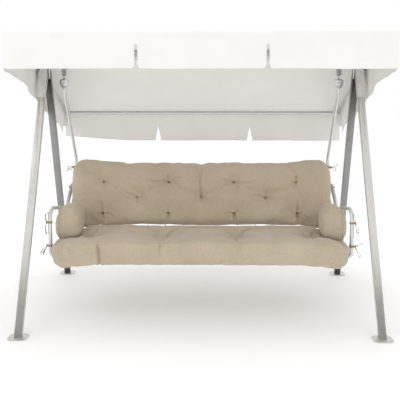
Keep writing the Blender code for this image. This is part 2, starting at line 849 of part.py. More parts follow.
def makeTie(name, tubeRadius, matrix, side):
    """Fabric strap: a band round a tube with two tails hanging on its outer side."""
    inner = tubeRadius + gap * 2
    outer = inner + tieThick
    ring = arcPoints((0, 0), outer, 0, 345, 15)
    hole = arcPoints((0, 0), inner, 0, 345, 15)
    obj = outlineSolid(name, ring, tieHeight, [hole])
    obj.matrix_world = matrix
    tail = block(f"{name}_tail", (-tieTailWidth / 2, -tieTailThick / 2, -tieTail),
                 (tieTailWidth / 2, tieTailThick / 2, tieHeight / 2))
    beside = Matrix.Translation((side * (outer - 0.0005), 0, (tieHeight / 2 - tieTail) / 2))
    tail.matrix_world = matrix @ beside @ Matrix.Rotation(math.pi / 2, 4, "Z")
    boolean(obj, tail, "UNION")
    return place(obj, cushionCloth, smooth=False)


def makeTies(side):
    upperZ = hangerBendZ - backTieDrop
    lean = Matrix.Rotation(-backAngle, 4, "X")
    makeTie(f"back_tie_{sideName(side)}", hangerRadius,
            Matrix.Translation((side * hangerX, hangerPointAt(upperZ), upperZ)) @ lean, side)
    for name, z in (("arm_tie", armTieZ), ("seat_tie", seatTieZ)):
        post = Matrix.Translation((side * armX, apexY + armPostY, z))
        makeTie(f"{name}_{sideName(side)}", armRadius, post, side)


# --- canopy -----------------------------------------------------------------
canopyArmX = bracketX + legWidth / 2 + gap + strapThick + canopyArmClear + canopyArmRadius
knobFaceX = canopyArmX + max(canopyEyeThick / 2, canopyArmRadius) + gap
halfWidth = knobFaceX + knobThick + knobClear + fabricThick
railClear = railRadius + gap + fabricThick / 2
frontRailY = canopyFrontY + fabricThick + gap + railRadius
rearRailY = canopyRearY - fabricThick - gap - railRadius


def tangentAngle(radius, y, z, towards):
    """Angle, round the tilt pivot, at which a line from the point (y, z) touches a circle of that radius."""
    reach = math.hypot(y, z - tiltZ)
    return math.atan2(z - tiltZ, y) + towards * math.acos(radius / reach)


def roofProfile():
    """Middle line of the roof cloth in the Y-Z plane, front to rear.

    Over the brackets' crowns it follows a circle round the tilt pivot, so that it clears them at any tilt.
    """
    crownY = legOuterY(strapShoulderZ) + gap + strapThick
    crownZ = crossbarZ + crossbarHeight / 2 + gap + strapThick
    radius = math.hypot(crownY, crownZ - tiltZ) + ridgeClear + fabricThick / 2
    front = (frontRailY, frontRailZ + railClear + 0.001)
    rear = (rearRailY + 0.004, rearRailZ + railClear + 0.003)
    first = math.degrees(tangentAngle(radius, *front, -1))
    last = math.degrees(tangentAngle(radius, *rear, 1))
    ridge = arcPoints((0, tiltZ), radius, first, last, 4)
    return [(canopyFrontY, front[1] - 0.005), front, *ridge, rear, (canopyRearY, rear[1] - 0.011)]


def roofHeight(y):
    profile = roofProfile()
    for (y0, z0), (y1, z1) in zip(profile, profile[1:]):
        if y <= y1:
            return z0 + (z1 - z0) * (y - y0) / (y1 - y0)
    return profile[-1][1]


def makeRoof():
    """Bent sheet: the profile swept across the width, given its cloth thickness."""
    profile = roofProfile()
    mesh = bpy.data.meshes.new("canopy_roof")
    bm = bmesh.new()
    edges = []
    verts = [bm.verts.new((-halfWidth, apexY + y, z)) for y, z in profile]
    for first, second in zip(verts, verts[1:]):
        edges.append(bm.edges.new((first, second)))
    result = bmesh.ops.extrude_edge_only(bm, edges=edges)
    moved = [v for v in result["geom"] if isinstance(v, bmesh.types.BMVert)]
    bmesh.ops.translate(bm, verts=moved, vec=(2 * halfWidth, 0, 0))
    bmesh.ops.recalc_face_normals(bm, faces=bm.faces)
    bm.to_mesh(mesh)
    bm.free()
    obj = meshObject("canopy_roof", mesh)
    solidify = obj.modifiers.new("cloth", "SOLIDIFY")
    solidify.thickness = fabricThick
    solidify.offset = 0
    solidify.use_even_offset = True
    return place(obj, canopyCloth)


def flapBottom(low, high, bottomLow, bottomHigh):
    """Lower edge of one valance flap from low to high, with rounded corners."""
    r = hemRadius
    first = arcPoints((low + r, bottomLow + r), r, 180, 270, 4)
    second = arcPoints((high - r, bottomHigh + r), r, 270, 360, 4)
    return first + second


def valanceOutline(half, topZ, bottomZ):
    """Three equal flaps parted by two pointed slits."""
    third = 2 * half / 3
    points = [(-half, topZ)]
    for i in range(3):
        low = -half + third * i + (slitWidth / 2 if i > 0 else 0)
        high = -half + third * (i + 1) - (slitWidth / 2 if i < 2 else 0)
        points += flapBottom(low, high, bottomZ, bottomZ)
        if i < 2:
            points.append((high + slitWidth / 2, bottomZ + slitHeight))
    points.append((half, topZ))
    return points


def makeEndValance(end):
    name = "canopy_valance_front" if end < 0 else "canopy_valance_rear"
    y = canopyFrontY if end < 0 else canopyRearY
    drop = valanceDrop if end < 0 else rearValanceDrop
    topZ = roofHeight(y) - fabricThick
    half = halfWidth - fabricThick - gap
    obj = outlineSolid(name, valanceOutline(half, topZ, topZ - drop), fabricThick,
                       rotation=(90, 0, 0), location=(0, apexY + y - end * fabricThick / 2, 0))
    return place(obj, canopyCloth, smooth=False)


# lower edge of the side flaps: distance behind the crossbar's plane, and drop below the legs' apex
sideHem = ((canopyFrontY, 0.102), (-0.43, 0.149), (-0.21, 0.205), (-0.03, 0.292), (0.12, 0.343), (0.52, 0.46),
           (canopyRearY, 0.555))


def sideHemHeight(y):
    for (y0, drop0), (y1, drop1) in zip(sideHem, sideHem[1:]):
        if y <= y1:
            return apexZ - drop0 - (drop1 - drop0) * (y - y0) / (y1 - y0)
    return apexZ - sideHem[-1][1]


def makeSideValance(side):
    """Side flap: straight along the roof, with a lower edge of hanging scallops."""
    name = f"canopy_valance_{sideName(side)}"
    length = canopyRearY - canopyFrontY
    top = [(y, z - fabricThick / 2 - gap - 0.0012) for y, z in roofProfile()]
    top[0] = (canopyFrontY, top[0][1])
    bottom = []
    steps = 4
    for i in range(sideScallops * steps + 1):
        y = canopyFrontY + length * i / (sideScallops * steps)
        lift = scallopDepth * abs(math.cos(math.pi * i / steps))
        bottom.append((y, sideHemHeight(y) + lift))
    obj = outlineSolid(name, top + bottom[::-1], fabricThick, rotation=(90, 0, 90),
                       location=(side * (halfWidth - fabricThick / 2), apexY, 0))
    return place(obj, canopyCloth, smooth=False)


def makeRail(end):
    name = "canopy_rail_front" if end < 0 else "canopy_rail_rear"
    y = apexY + (frontRailY if end < 0 else rearRailY)
    z = frontRailZ if end < 0 else rearRailZ
    length = halfWidth - fabricThick - railEnd
    if end > 0:
        length -= railCapLength
    obj = tubeAlong(name, [(-length, y, z), (0, y, z), (length, y, z)], railRadius, railWall)
    return place(obj, silverPaint)


def makeRailCap(side):
    """Plug with a flange that closes an end of the rear rail."""
    name = f"rail_cap_{sideName(side)}"
    r = railRadius - railWall - gap * 2
    face = railCapLength - gap
    profile = [(0, face), (railRadius - 0.002, face), (railRadius, face - 0.003), (railRadius, gap), (r, gap),
               (r, -railPlugLength), (0, -railPlugLength)]
    obj = turned(name, profile, 12)
    x = side * (halfWidth - fabricThick - railEnd - railCapLength)
    turn = Matrix.Rotation(side * math.pi / 2, 4, "Y")
    obj.matrix_world = Matrix.Translation((x, apexY + rearRailY, rearRailZ)) @ turn
    return place(obj, whitePlastic)


def makeCanopyArm(side):
    """Bent rod from the front rail past the tilt stud to the rear rail, with an eye at the stud."""
    name = f"canopy_arm_{sideName(side)}"
    x = side * canopyArmX
    reach = railRadius + gap * 2
    front = (x, apexY + frontRailY + reach, frontRailZ - 0.004)
    rearLean = math.atan2(tiltZ - rearRailZ, rearRailY)
    rear = (x, apexY + rearRailY - reach * math.cos(rearLean) - 0.002, rearRailZ + reach * math.sin(rearLean))
    middle = (x, apexY, tiltZ)
    obj = rodAlong(name, filletPath([front, middle, rear], 0.02, 4), canopyArmRadius, 2)
    eye = cylinder(f"{name}_eye", canopyEyeRadius, canopyEyeThick, middle, "X")
    boolean(obj, eye, "UNION")
    hole = cylinder(f"{name}_hole", knobStud + boltClear, 0.05, middle, "X")
    boolean(obj, hole, "DIFFERENCE")
    return place(obj, silverPaint)


def makeKnob(side):
    """Lobed hand knob with its threaded stud."""
    name = f"tilt_knob_{sideName(side)}"
    count = knobLobes * 8
    outline = []
    for i in range(count):
        a = 2 * math.pi * i / count
        r = knobRadius - knobLobeDepth + knobLobeDepth * math.cos(knobLobes * a)
        outline.append((r * math.cos(a), r * math.sin(a)))
    obj = outlineSolid(name, outline, knobThick, rotation=(90, 0, 90),
                       location=(side * (knobFaceX + knobThick / 2), apexY, tiltZ))
    inner = bracketX + legWidth / 2 - 0.006
    outer = knobFaceX + 0.005
    middle = (side * (outer + inner) / 2, apexY, tiltZ)
    stud = cylinder(f"{name}_stud", knobStud, outer - inner, middle, "X", 12)
    boolean(obj, stud, "UNION")
    return place(obj, blackPlastic)


# --- assembly ---------------------------------------------------------------
def hangOn(name, z, before):
    """Parent everything made since `before` to an empty on the joint's axis."""
    bpy.context.view_layer.update()
    empty = bpy.data.objects.new(name, None)
    empty.location = (0, apexY, z)
    empty.empty_display_size = 0.1
    modelCollection.objects.link(empty)
    bpy.context.view_layer.update()
    for obj in modelCollection.objects:
        if obj.type == "MESH" and obj.name not in before:
            obj.parent = empty
            obj.matrix_parent_inverse = empty.matrix_world.inverted()


def madeSoFar():
    return {obj.name for obj in modelCollection.objects}


def buildStand():
    for side in (-1, 1):
        for end in (-1, 1):
            makeLeg(side, end)
            makeFootPlate(side, end)
        makeApexBracket(side)
        makeFrontBolt(f"apex_bolt_upper_{sideName(side)}", side, strapBoltHeights[0], strapBoltHead, False)
        makeFrontBolt(f"apex_bolt_lower_{sideName(side)}", side, strapBoltHeights[1], strapBoltHead, False)
        makeFrontBolt(f"apex_rivet_{sideName(side)}", side, rivetHeight, rivetHead, True)
        makeBrace(side)
        makeHookEye(side)
        makeKnob(side)
    makeCrossbar()


def buildSeat():
    before = madeSoFar()
    for side in (-1, 1):
        makeSpring(side)
        makeHangerTube(side)
        makeArmTube(side)
        makeArmBolts(side)
        makeArmCushion(side)
        makeTies(side)
    makeSeatFrame()
    makeBackFrame()
    makeSeatGrid()
    makeBackGrid()
    makeSeatCushion()
    makeBackCushion()
    hangOn("swing_axis", swingZ, before)


def buildCanopy():
    before = madeSoFar()
    makeRoof()
    for end in (-1, 1):
        makeEndValance(end)
        makeRail(end)
    for side in (-1, 1):
        makeSideValance(side)
        makeRailCap(side)
        makeCanopyArm(side)
    hangOn("canopy_tilt_axis", tiltZ, before)


clearScene()
modelCollection = newCollection(objectName)
cutterCollection = newCollection("cutters")
buildStand()
buildSeat()
buildCanopy()
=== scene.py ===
# Canopy swing bench: cloth, padding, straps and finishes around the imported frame.
import json
import math
import random

import bmesh
import bpy
import numpy as np
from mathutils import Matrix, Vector, noise

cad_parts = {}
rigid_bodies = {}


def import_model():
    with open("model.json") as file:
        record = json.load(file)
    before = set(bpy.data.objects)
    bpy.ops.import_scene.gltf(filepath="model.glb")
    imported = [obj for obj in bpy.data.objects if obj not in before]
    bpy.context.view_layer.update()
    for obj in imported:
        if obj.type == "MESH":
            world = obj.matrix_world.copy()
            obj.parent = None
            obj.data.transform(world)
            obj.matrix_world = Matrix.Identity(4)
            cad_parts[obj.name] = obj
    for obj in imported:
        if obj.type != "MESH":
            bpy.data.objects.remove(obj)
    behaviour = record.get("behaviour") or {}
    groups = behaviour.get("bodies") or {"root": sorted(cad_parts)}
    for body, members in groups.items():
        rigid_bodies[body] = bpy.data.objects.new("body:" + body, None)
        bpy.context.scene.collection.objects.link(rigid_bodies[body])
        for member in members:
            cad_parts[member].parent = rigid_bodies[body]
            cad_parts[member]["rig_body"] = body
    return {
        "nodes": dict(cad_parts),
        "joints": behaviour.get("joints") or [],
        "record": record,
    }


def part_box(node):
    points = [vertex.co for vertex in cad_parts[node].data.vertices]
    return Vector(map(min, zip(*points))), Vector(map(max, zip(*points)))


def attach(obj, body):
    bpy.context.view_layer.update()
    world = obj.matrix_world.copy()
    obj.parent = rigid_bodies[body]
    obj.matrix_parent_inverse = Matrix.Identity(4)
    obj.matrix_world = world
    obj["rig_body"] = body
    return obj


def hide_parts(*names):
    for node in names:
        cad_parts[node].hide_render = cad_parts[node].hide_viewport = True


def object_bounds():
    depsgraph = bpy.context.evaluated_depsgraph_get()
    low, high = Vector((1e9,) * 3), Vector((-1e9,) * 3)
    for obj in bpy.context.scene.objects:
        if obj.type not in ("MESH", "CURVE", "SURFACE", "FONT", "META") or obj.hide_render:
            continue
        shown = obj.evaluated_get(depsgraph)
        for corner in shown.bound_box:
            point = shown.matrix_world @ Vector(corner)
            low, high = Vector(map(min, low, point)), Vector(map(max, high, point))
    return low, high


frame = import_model()
cadLow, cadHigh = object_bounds()
nodes = frame["nodes"]
joints = {joint["name"]: joint for joint in frame["joints"]}
tiltPivot = Vector(joints["canopy_tilt"]["pos_m"])
scene = bpy.context.scene
print("frame loaded:", len(nodes), "nodes")


# ---- camera, floor and light ----
camera = {
    "lens": 55.98,
    "behind": 4.003,      # in front of the crossbar, metres
    "height": 1.401,
    "aside": 0.05,
    "pitch": 5.0,         # degrees down
    "yaw": 0.81,
    "shiftY": -0.1434,
}
studio = {
    "floor": "FFFFFF",
    "floorSize": 60.0,
    "worldStrength": 1.0,
    "keyPower": 7.0,
    "topPower": 60.0,
}


def linear(hexColour):
    values = [int(hexColour[i:i + 2], 16) / 255 for i in (0, 2, 4)]
    return [v / 12.92 if v <= 0.04045 else ((v + 0.055) / 1.055) ** 2.4 for v in values] + [1.0]


def addNode(tree, kind, settings=None, links=None):
    node = tree.nodes.new(kind)
    for name, value in (settings or {}).items():
        if name == "stops":
            elements = node.color_ramp.elements
            for i, (position, hexColour) in enumerate(value):
                element = elements[i] if i < 2 else elements.new(position)
                element.position = position
                element.color = linear(hexColour)
        elif isinstance(name, int) or name in node.inputs:
            node.inputs[name].default_value = value
        else:
            setattr(node, name, value)
    for name, socket in (links or {}).items():
        tree.links.new(socket, node.inputs[name])
    return node


def newMaterial(name, roughness, metallic=0.0, **extra):
    material = bpy.data.materials.new(name)
    material.use_nodes = True
    shader = material.node_tree.nodes["Principled BSDF"]
    shader.inputs["Roughness"].default_value = roughness
    shader.inputs["Metallic"].default_value = metallic
    for key, value in extra.items():
        shader.inputs[key].default_value = value
    return material, material.node_tree, shader


def addCamera():
    data = bpy.data.cameras.new("camera")
    data.lens = camera["lens"]
    data.sensor_width = 36
    data.shift_y = camera["shiftY"]
    obj = bpy.data.objects.new("camera", data)
    obj.location = (camera["aside"], tiltPivot.y - camera["behind"], camera["height"])
    obj.rotation_euler = (math.radians(90 - camera["pitch"]), 0, math.radians(camera["yaw"]))
    scene.collection.objects.link(obj)
    scene.camera = obj


def addArea(name, place, aim, size, power):
    data = bpy.data.lights.new(name, "AREA")
    data.shape = "RECTANGLE"
    data.size, data.size_y = size
    data.energy = power
    obj = bpy.data.objects.new(name, data)
    obj.location = place
    obj.rotation_euler = (Vector(aim) - Vector(place)).to_track_quat("-Z", "Y").to_euler()
    scene.collection.objects.link(obj)


def addStudio():
    world = bpy.data.worlds.new("studio")
    world.use_nodes = True
    background = world.node_tree.nodes["Background"]
    background.inputs["Color"].default_value = (1, 1, 1, 1)
    background.inputs["Strength"].default_value = studio["worldStrength"]
    scene.world = world
    scene.view_settings.view_transform = "Standard"
    addArea("key", (-2.6, -3.2, 3.4), (0, 0, 0.6), (2.0, 1.6), studio["keyPower"])
    addArea("top", (0, -0.2, 5.0), (0, -0.1, 0.5), (3.0, 2.0), studio["topPower"])
    mesh = bpy.data.meshes.new("floor")
    bm = bmesh.new()
    bmesh.ops.create_grid(bm, x_segments=1, y_segments=1, size=studio["floorSize"] / 2)
    bm.to_mesh(mesh)
    bm.free()
    floor = bpy.data.objects.new("floor", mesh)
    floor.location.z = cadLow.z
    scene.collection.objects.link(floor)
    # matt white floor paint: no sheen, so only soft shadow shows
    material, tree, shader = newMaterial("matt white floor paint", 0.85)
    shader.inputs["Base Color"].default_value = linear(studio["floor"])
    floor.data.materials.append(material)


addCamera()
addStudio()
print("camera and studio ready")


# ---- finishes ----
def spacing(millimetres):
    return 1000.0 / millimetres   # texture scale for one feature every so many millimetres


def bands(millimetres):
    return spacing(millimetres) * math.pi / 10   # the wave texture's bands are 2 pi / 20 apart at scale 1


def objectPoint(tree):
    return addNode(tree, "ShaderNodeTexCoord").outputs["Object"]


def hotDipGalvanised(name, dark, light):
    # hot-dip zinc: satin grey with faint crystal spangle, cells about 11 mm across
    material, tree, shader = newMaterial(name, 0.42, 1.0)
    point = objectPoint(tree)
    cells = addNode(tree, "ShaderNodeTexVoronoi", {"Scale": spacing(11)}, {"Vector": point})
    drift = addNode(tree, "ShaderNodeTexNoise", {"Scale": spacing(90), "Detail": 3.0}, {"Vector": point})
    value = addNode(tree, "ShaderNodeSeparateColor", links={"Color": cells.outputs["Color"]})
    blend = addNode(tree, "ShaderNodeMix", {"Factor": 0.6},
                    {"A": value.outputs["Red"], "B": drift.outputs["Fac"]})
    colour = addNode(tree, "ShaderNodeValToRGB", {"stops": [(0.25, dark), (0.75, light)]},
                     {"Fac": blend.outputs["Result"]})
    tree.links.new(colour.outputs["Color"], shader.inputs["Base Color"])
    rough = addNode(tree, "ShaderNodeMapRange", {"To Min": 0.36, "To Max": 0.52},
                    {"Value": value.outputs["Red"]})
    tree.links.new(rough.outputs["Result"], shader.inputs["Roughness"])
    fine = addNode(tree, "ShaderNodeTexNoise", {"Scale": spacing(2.5), "Detail": 2.0}, {"Vector": point})
    relief = addNode(tree, "ShaderNodeBump", {"Strength": 0.12, "Distance": 0.0004},
                     {"Height": fine.outputs["Fac"]})
    tree.links.new(relief.outputs["Normal"], shader.inputs["Normal"])
    return material


def brightZincPlate():
    # electroplated zinc on pressed sheet: bright, with faint rolling lines along the strip
    material, tree, shader = newMaterial("bright zinc plate", 0.3, 1.0)
    point = objectPoint(tree)
    stretched = addNode(tree, "ShaderNodeMapping", {"Scale": (1, 1, 0.06)}, {"Vector": point})
    lines = addNode(tree, "ShaderNodeTexNoise", {"Scale": spacing(1.6), "Detail": 2.0},
                    {"Vector": stretched.outputs["Vector"]})
    cloud = addNode(tree, "ShaderNodeTexNoise", {"Scale": spacing(35), "Detail": 2.0}, {"Vector": point})
    colour = addNode(tree, "ShaderNodeValToRGB", {"stops": [(0.3, "E6E7E7"), (0.7, "F5F5F5")]},
                     {"Fac": cloud.outputs["Fac"]})
    tree.links.new(colour.outputs["Color"], shader.inputs["Base Color"])
    rough = addNode(tree, "ShaderNodeMapRange", {"To Min": 0.22, "To Max": 0.42},
                    {"Value": lines.outputs["Fac"]})
    tree.links.new(rough.outputs["Result"], shader.inputs["Roughness"])
    relief = addNode(tree, "ShaderNodeBump", {"Strength": 0.08, "Distance": 0.0002},
                     {"Height": lines.outputs["Fac"]})
    tree.links.new(relief.outputs["Normal"], shader.inputs["Normal"])
    return material


def silverPowderCoat():
    # baked silver powder on tube: fine orange peel under a slight gloss, pale flake
    material, tree, shader = newMaterial("silver powder coat", 0.34, 0.75)
    point = objectPoint(tree)
    flake = addNode(tree, "ShaderNodeTexNoise", {"Scale": spacing(1.2), "Detail": 1.0}, {"Vector": point})
    cloud = addNode(tree, "ShaderNodeTexNoise", {"Scale": spacing(60), "Detail": 2.0}, {"Vector": point})
    mixed = addNode(tree, "ShaderNodeMix", {"Factor": 0.5},
                    {"A": flake.outputs["Fac"], "B": cloud.outputs["Fac"]})
    colour = addNode(tree, "ShaderNodeValToRGB", {"stops": [(0.3, "D6D8D8"), (0.7, "E8E9E9")]},
                     {"Fac": mixed.outputs["Result"]})
    tree.links.new(colour.outputs["Color"], shader.inputs["Base Color"])
    rough = addNode(tree, "ShaderNodeMapRange", {"To Min": 0.28, "To Max": 0.42},
                    {"Value": cloud.outputs["Fac"]})
    tree.links.new(rough.outputs["Result"], shader.inputs["Roughness"])
    peel = addNode(tree, "ShaderNodeTexNoise", {"Scale": spacing(3), "Detail": 1.0}, {"Vector": point})
    relief = addNode(tree, "ShaderNodeBump", {"Strength": 0.1, "Distance": 0.0003},
                     {"Height": peel.outputs["Fac"]})
    tree.links.new(relief.outputs["Normal"], shader.inputs["Normal"])
    return material


def oiledSpringSteel():
    # drawn wire, oiled: dark grey with draw marks
    material, tree, shader = newMaterial("oiled spring steel", 0.36, 1.0)
    point = objectPoint(tree)
    marks = addNode(tree, "ShaderNodeTexNoise", {"Scale": spacing(2), "Detail": 3.0}, {"Vector": point})
    colour = addNode(tree, "ShaderNodeValToRGB", {"stops": [(0.3, "8E8F91"), (0.7, "B4B5B7")]},
                     {"Fac": marks.outputs["Fac"]})
    tree.links.new(colour.outputs["Color"], shader.inputs["Base Color"])
    rough = addNode(tree, "ShaderNodeMapRange", {"To Min": 0.28, "To Max": 0.5},
                    {"Value": marks.outputs["Fac"]})
    tree.links.new(rough.outputs["Result"], shader.inputs["Roughness"])
    return material


def mouldedPolypropylene(name, dark, light, roughness):
    # injection-moulded with a spark-eroded grain about 1 mm across, which breaks up the highlight
    material, tree, shader = newMaterial(name, roughness, 0.0, IOR=1.49)
    point = objectPoint(tree)
    grain = addNode(tree, "ShaderNodeTexNoise", {"Scale": spacing(1), "Detail": 2.0}, {"Vector": point})
    colour = addNode(tree, "ShaderNodeValToRGB", {"stops": [(0.3, dark), (0.7, light)]},
                     {"Fac": grain.outputs["Fac"]})
    tree.links.new(colour.outputs["Color"], shader.inputs["Base Color"])
    relief = addNode(tree, "ShaderNodeBump", {"Strength": 0.25, "Distance": 0.0003},
                     {"Height": grain.outputs["Fac"]})
    tree.links.new(relief.outputs["Normal"], shader.inputs["Normal"])
    return material


def weave(tree, point, warpMm, weftMm):
    # plain weave: bands across x for the warp, and along the drop or depth for the weft
    warp = addNode(tree, "ShaderNodeTexWave",
                   {"bands_direction": "X", "Scale": bands(warpMm), "Distortion": 1.2, "Detail": 1.0},
                   {"Vector": point})
    turned = addNode(tree, "ShaderNodeMapping", {"Rotation": (math.radians(45), 0, 0)}, {"Vector": point})
    weft = addNode(tree, "ShaderNodeTexWave",
                   {"bands_direction": "Z", "Scale": bands(weftMm), "Distortion": 1.2, "Detail": 1.0},
                   {"Vector": turned.outputs["Vector"]})
    both = addNode(tree, "ShaderNodeMath", {"operation": "ADD"},
                   {0: warp.outputs["Fac"], 1: weft.outputs["Fac"]})
    half = addNode(tree, "ShaderNodeMath", {"operation": "MULTIPLY", 1: 0.5}, {0: both.outputs["Value"]})
    return half.outputs["Value"]


def coatedPolyester(name, shade, middle, light):
    # PU-coated woven polyester, threads 0.5 mm apart; the weave is drawn 3 mm apart so that it can show
    material, tree, shader = newMaterial(name, 0.82, 0.0, IOR=1.5)
    shader.inputs["Sheen Weight"].default_value = 0.15
    shader.inputs["Sheen Roughness"].default_value = 0.5
    point = objectPoint(tree)
    threads = weave(tree, point, 3.0, 3.0)
    cloud = addNode(tree, "ShaderNodeTexNoise", {"Scale": spacing(220), "Detail": 4.0}, {"Vector": point})
    mixed = addNode(tree, "ShaderNodeMix", {"Factor": 0.7}, {"A": threads, "B": cloud.outputs["Fac"]})
    colour = addNode(tree, "ShaderNodeValToRGB", {"stops": [(0.2, shade), (0.8, light), (0.5, middle)]},
                     {"Fac": mixed.outputs["Result"]})
    tree.links.new(colour.outputs["Color"], shader.inputs["Base Color"])
    relief = addNode(tree, "ShaderNodeBump", {"Strength": 0.12, "Distance": 0.0006},
                     {"Height": threads})
    tree.links.new(relief.outputs["Normal"], shader.inputs["Normal"])
    return material


def cottonCanvas(name, shade, middle, light):
    # heathered cotton canvas, yarn about 0.8 mm; yarns are drawn 3.5 mm apart, with slubs a few mm long
    material, tree, shader = newMaterial(name, 0.9, 0.0, IOR=1.5)
    shader.inputs["Sheen Weight"].default_value = 0.25
    shader.inputs["Sheen Roughness"].default_value = 0.6
    point = objectPoint(tree)
    threads = weave(tree, point, 3.5, 3.5)
    slubs = addNode(tree, "ShaderNodeTexNoise", {"Scale": spacing(7), "Detail": 3.0, "Roughness": 0.65},
                    {"Vector": point})
    cloud = addNode(tree, "ShaderNodeTexNoise", {"Scale": spacing(160), "Detail": 3.0}, {"Vector": point})
    first = addNode(tree, "ShaderNodeMix", {"Factor": 0.65}, {"A": threads, "B": slubs.outputs["Fac"]})
    mixed = addNode(tree, "ShaderNodeMix", {"Factor": 0.3},
                    {"A": first.outputs["Result"], "B": cloud.outputs["Fac"]})
    colour = addNode(tree, "ShaderNodeValToRGB", {"stops": [(0.3, shade), (0.72, light), (0.5, middle)]},
                     {"Fac": mixed.outputs["Result"]})
    tree.links.new(colour.outputs["Color"], shader.inputs["Base Color"])
    relief = addNode(tree, "ShaderNodeBump", {"Strength": 0.35, "Distance": 0.0009},
                     {"Height": first.outputs["Result"]})
    tree.links.new(relief.outputs["Normal"], shader.inputs["Normal"])
    return material


galvanised = hotDipGalvanised("hot-dip galvanised steel", "CDCCC8", "DAD9D4")
# darker copy of the same zinc for the rear legs: painted shade for the shade they sit in under the canopy
shadedRearLegZinc = hotDipGalvanised("hot-dip galvanised steel, painted shade", "969594", "A5A4A2")
brightZinc = brightZincPlate()
silverCoat = silverPowderCoat()
springSteel = oiledSpringSteel()
blackPlastic = mouldedPolypropylene("moulded black polypropylene", "151516", "232324", 0.48)
whitePlastic = mouldedPolypropylene("moulded white polypropylene", "DADAD6", "ECECE8", 0.42)
canopyCloth = coatedPolyester("off-white coated polyester", "EEECE8", "F2F0ED", "F7F5F2")
hemTape = coatedPolyester("woven hem tape", "CFCAC3", "D9D4CD", "E2DDD7")
cushionCloth = cottonCanvas("beige cotton canvas", "AB9C86", "BDAE98", "CCBFAB")
tieCloth = cottonCanvas("beige cotton tape", "85745A", "9A886C", "AC9A7E")
print("finishes ready")


# ---- mesh helpers ----
def newObject(name, mesh, body, material):
    obj = bpy.data.objects.new(name, mesh)
    scene.collection.objects.link(obj)
    obj.data.materials.clear()
    obj.data.materials.append(material)
    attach(obj, body)
    return obj


def weldedCopy(node):
    bm = bmesh.new()
    bm.from_mesh(nodes[node].data)
    bmesh.ops.remove_doubles(bm, verts=bm.verts, dist=0.00001)
    mesh = bpy.data.meshes.new(node)
    bm.to_mesh(mesh)
    bm.free()
    return mesh


def smoothPiece(node, material, angle=50):
    # same solid with welded corners and rounded shading
    mesh = weldedCopy(node)
    mesh.shade_smooth()
    mesh.set_sharp_from_angle(angle=math.radians(angle))
    obj = newObject(f"{node}_finished", mesh, nodes[node]["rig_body"], material)
    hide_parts(node)
    return obj


def evaluatedMesh(obj):
    depsgraph = bpy.context.evaluated_depsgraph_get()
    return bpy.data.meshes.new_from_object(obj.evaluated_get(depsgraph))


def applied(obj):
    bpy.context.view_layer.update()
    mesh = evaluatedMesh(obj)
    obj.modifiers.clear()
    obj.data = mesh
    return obj


def pointsOf(mesh):
    flat = np.zeros(len(mesh.vertices) * 3, np.float32)
    mesh.vertices.foreach_get("co", flat)
    return flat.reshape(-1, 3).astype(float)


def setPoints(mesh, points):
    mesh.vertices.foreach_set("co", points.astype(np.float32).ravel())
    mesh.update()


def smoothCurve(points, perSpan=8):
    # Catmull-Rom line through the points
    points = [Vector(p) for p in points]
    padded = [points[0] * 2 - points[1], *points, points[-1] * 2 - points[-2]]
    result = []
    for a, b, c, d in zip(padded, padded[1:], padded[2:], padded[3:]):
        for i in range(perSpan):
            t = i / perSpan
            result.append(0.5 * (2 * b + (c - a) * t + (2 * a - 5 * b + 4 * c - d) * t ** 2
                                 + (3 * b - a - 3 * c + d) * t ** 3))
    result.append(points[-1])
    return result


def tubeMesh(name, points, radius, sides=12, closed=False):
    # round tube on a line of points, turned with the line so that it doesn't twist
    bm = bmesh.new()
    rings = []
    normal = None
    count = len(points)
    for i, point in enumerate(points):
        before = points[i - 1] if i > 0 or closed else points[i]
        after = points[(i + 1) % count] if i < count - 1 or closed else points[i]
        direction = (after - before).normalized()
        if normal is None:
            normal = direction.orthogonal().normalized()
        normal = (normal - direction * normal.dot(direction)).normalized()
        third = direction.cross(normal)
        size = radius[i] if isinstance(radius, list) else radius
        rings.append([bm.verts.new(point + (normal * math.cos(a) + third * math.sin(a)) * size)
                      for a in [2 * math.pi * k / sides for k in range(sides)]])
    pairs = list(zip(rings, rings[1:]))
    if closed:
        pairs.append((rings[-1], rings[0]))
    for first, second in pairs:
        for k in range(sides):
            bm.faces.new((first[k], first[(k + 1) % sides], second[(k + 1) % sides], second[k]))
    if not closed:
        bm.faces.new(rings[0][::-1])
        bm.faces.new(rings[-1])
    bmesh.ops.recalc_face_normals(bm, faces=bm.faces)
    mesh = bpy.data.meshes.new(name)
    bm.to_mesh(mesh)
    bm.free()
    mesh.shade_smooth()
    mesh.set_sharp_from_angle(angle=math.radians(50))
    return mesh


def ribbonMesh(name, points, width, thick, across):
    # flat woven tape on a line of points; across says which way its width lies at each point
    bm = bmesh.new()
    rings = []
    for i, point in enumerate(points):
        direction = (points[min(i + 1, len(points) - 1)] - points[max(i - 1, 0)]).normalized()
        wide = across[i] if isinstance(across, list) else Vector(across)
        wide = (wide - direction * wide.dot(direction)).normalized()
        face = direction.cross(wide)
        size = width[i] if isinstance(width, list) else width
        ring = []
        for u, v in ((-0.5, -0.25), (-0.46, -0.5), (0.46, -0.5), (0.5, -0.25),
                     (0.5, 0.25), (0.46, 0.5), (-0.46, 0.5), (-0.5, 0.25)):
            ring.append(bm.verts.new(point + wide * (u * size) + face * (v * thick)))
        rings.append(ring)
    for first, second in zip(rings, rings[1:]):
        for k in range(8):
            bm.faces.new((first[k], first[(k + 1) % 8], second[(k + 1) % 8], second[k]))
    bm.faces.new(rings[0][::-1])
    bm.faces.new(rings[-1])
    bmesh.ops.recalc_face_normals(bm, faces=bm.faces)
    mesh = bpy.data.meshes.new(name)
    bm.to_mesh(mesh)
    bm.free()
    mesh.shade_smooth()
    mesh.set_sharp_from_angle(angle=math.radians(40))
    return mesh


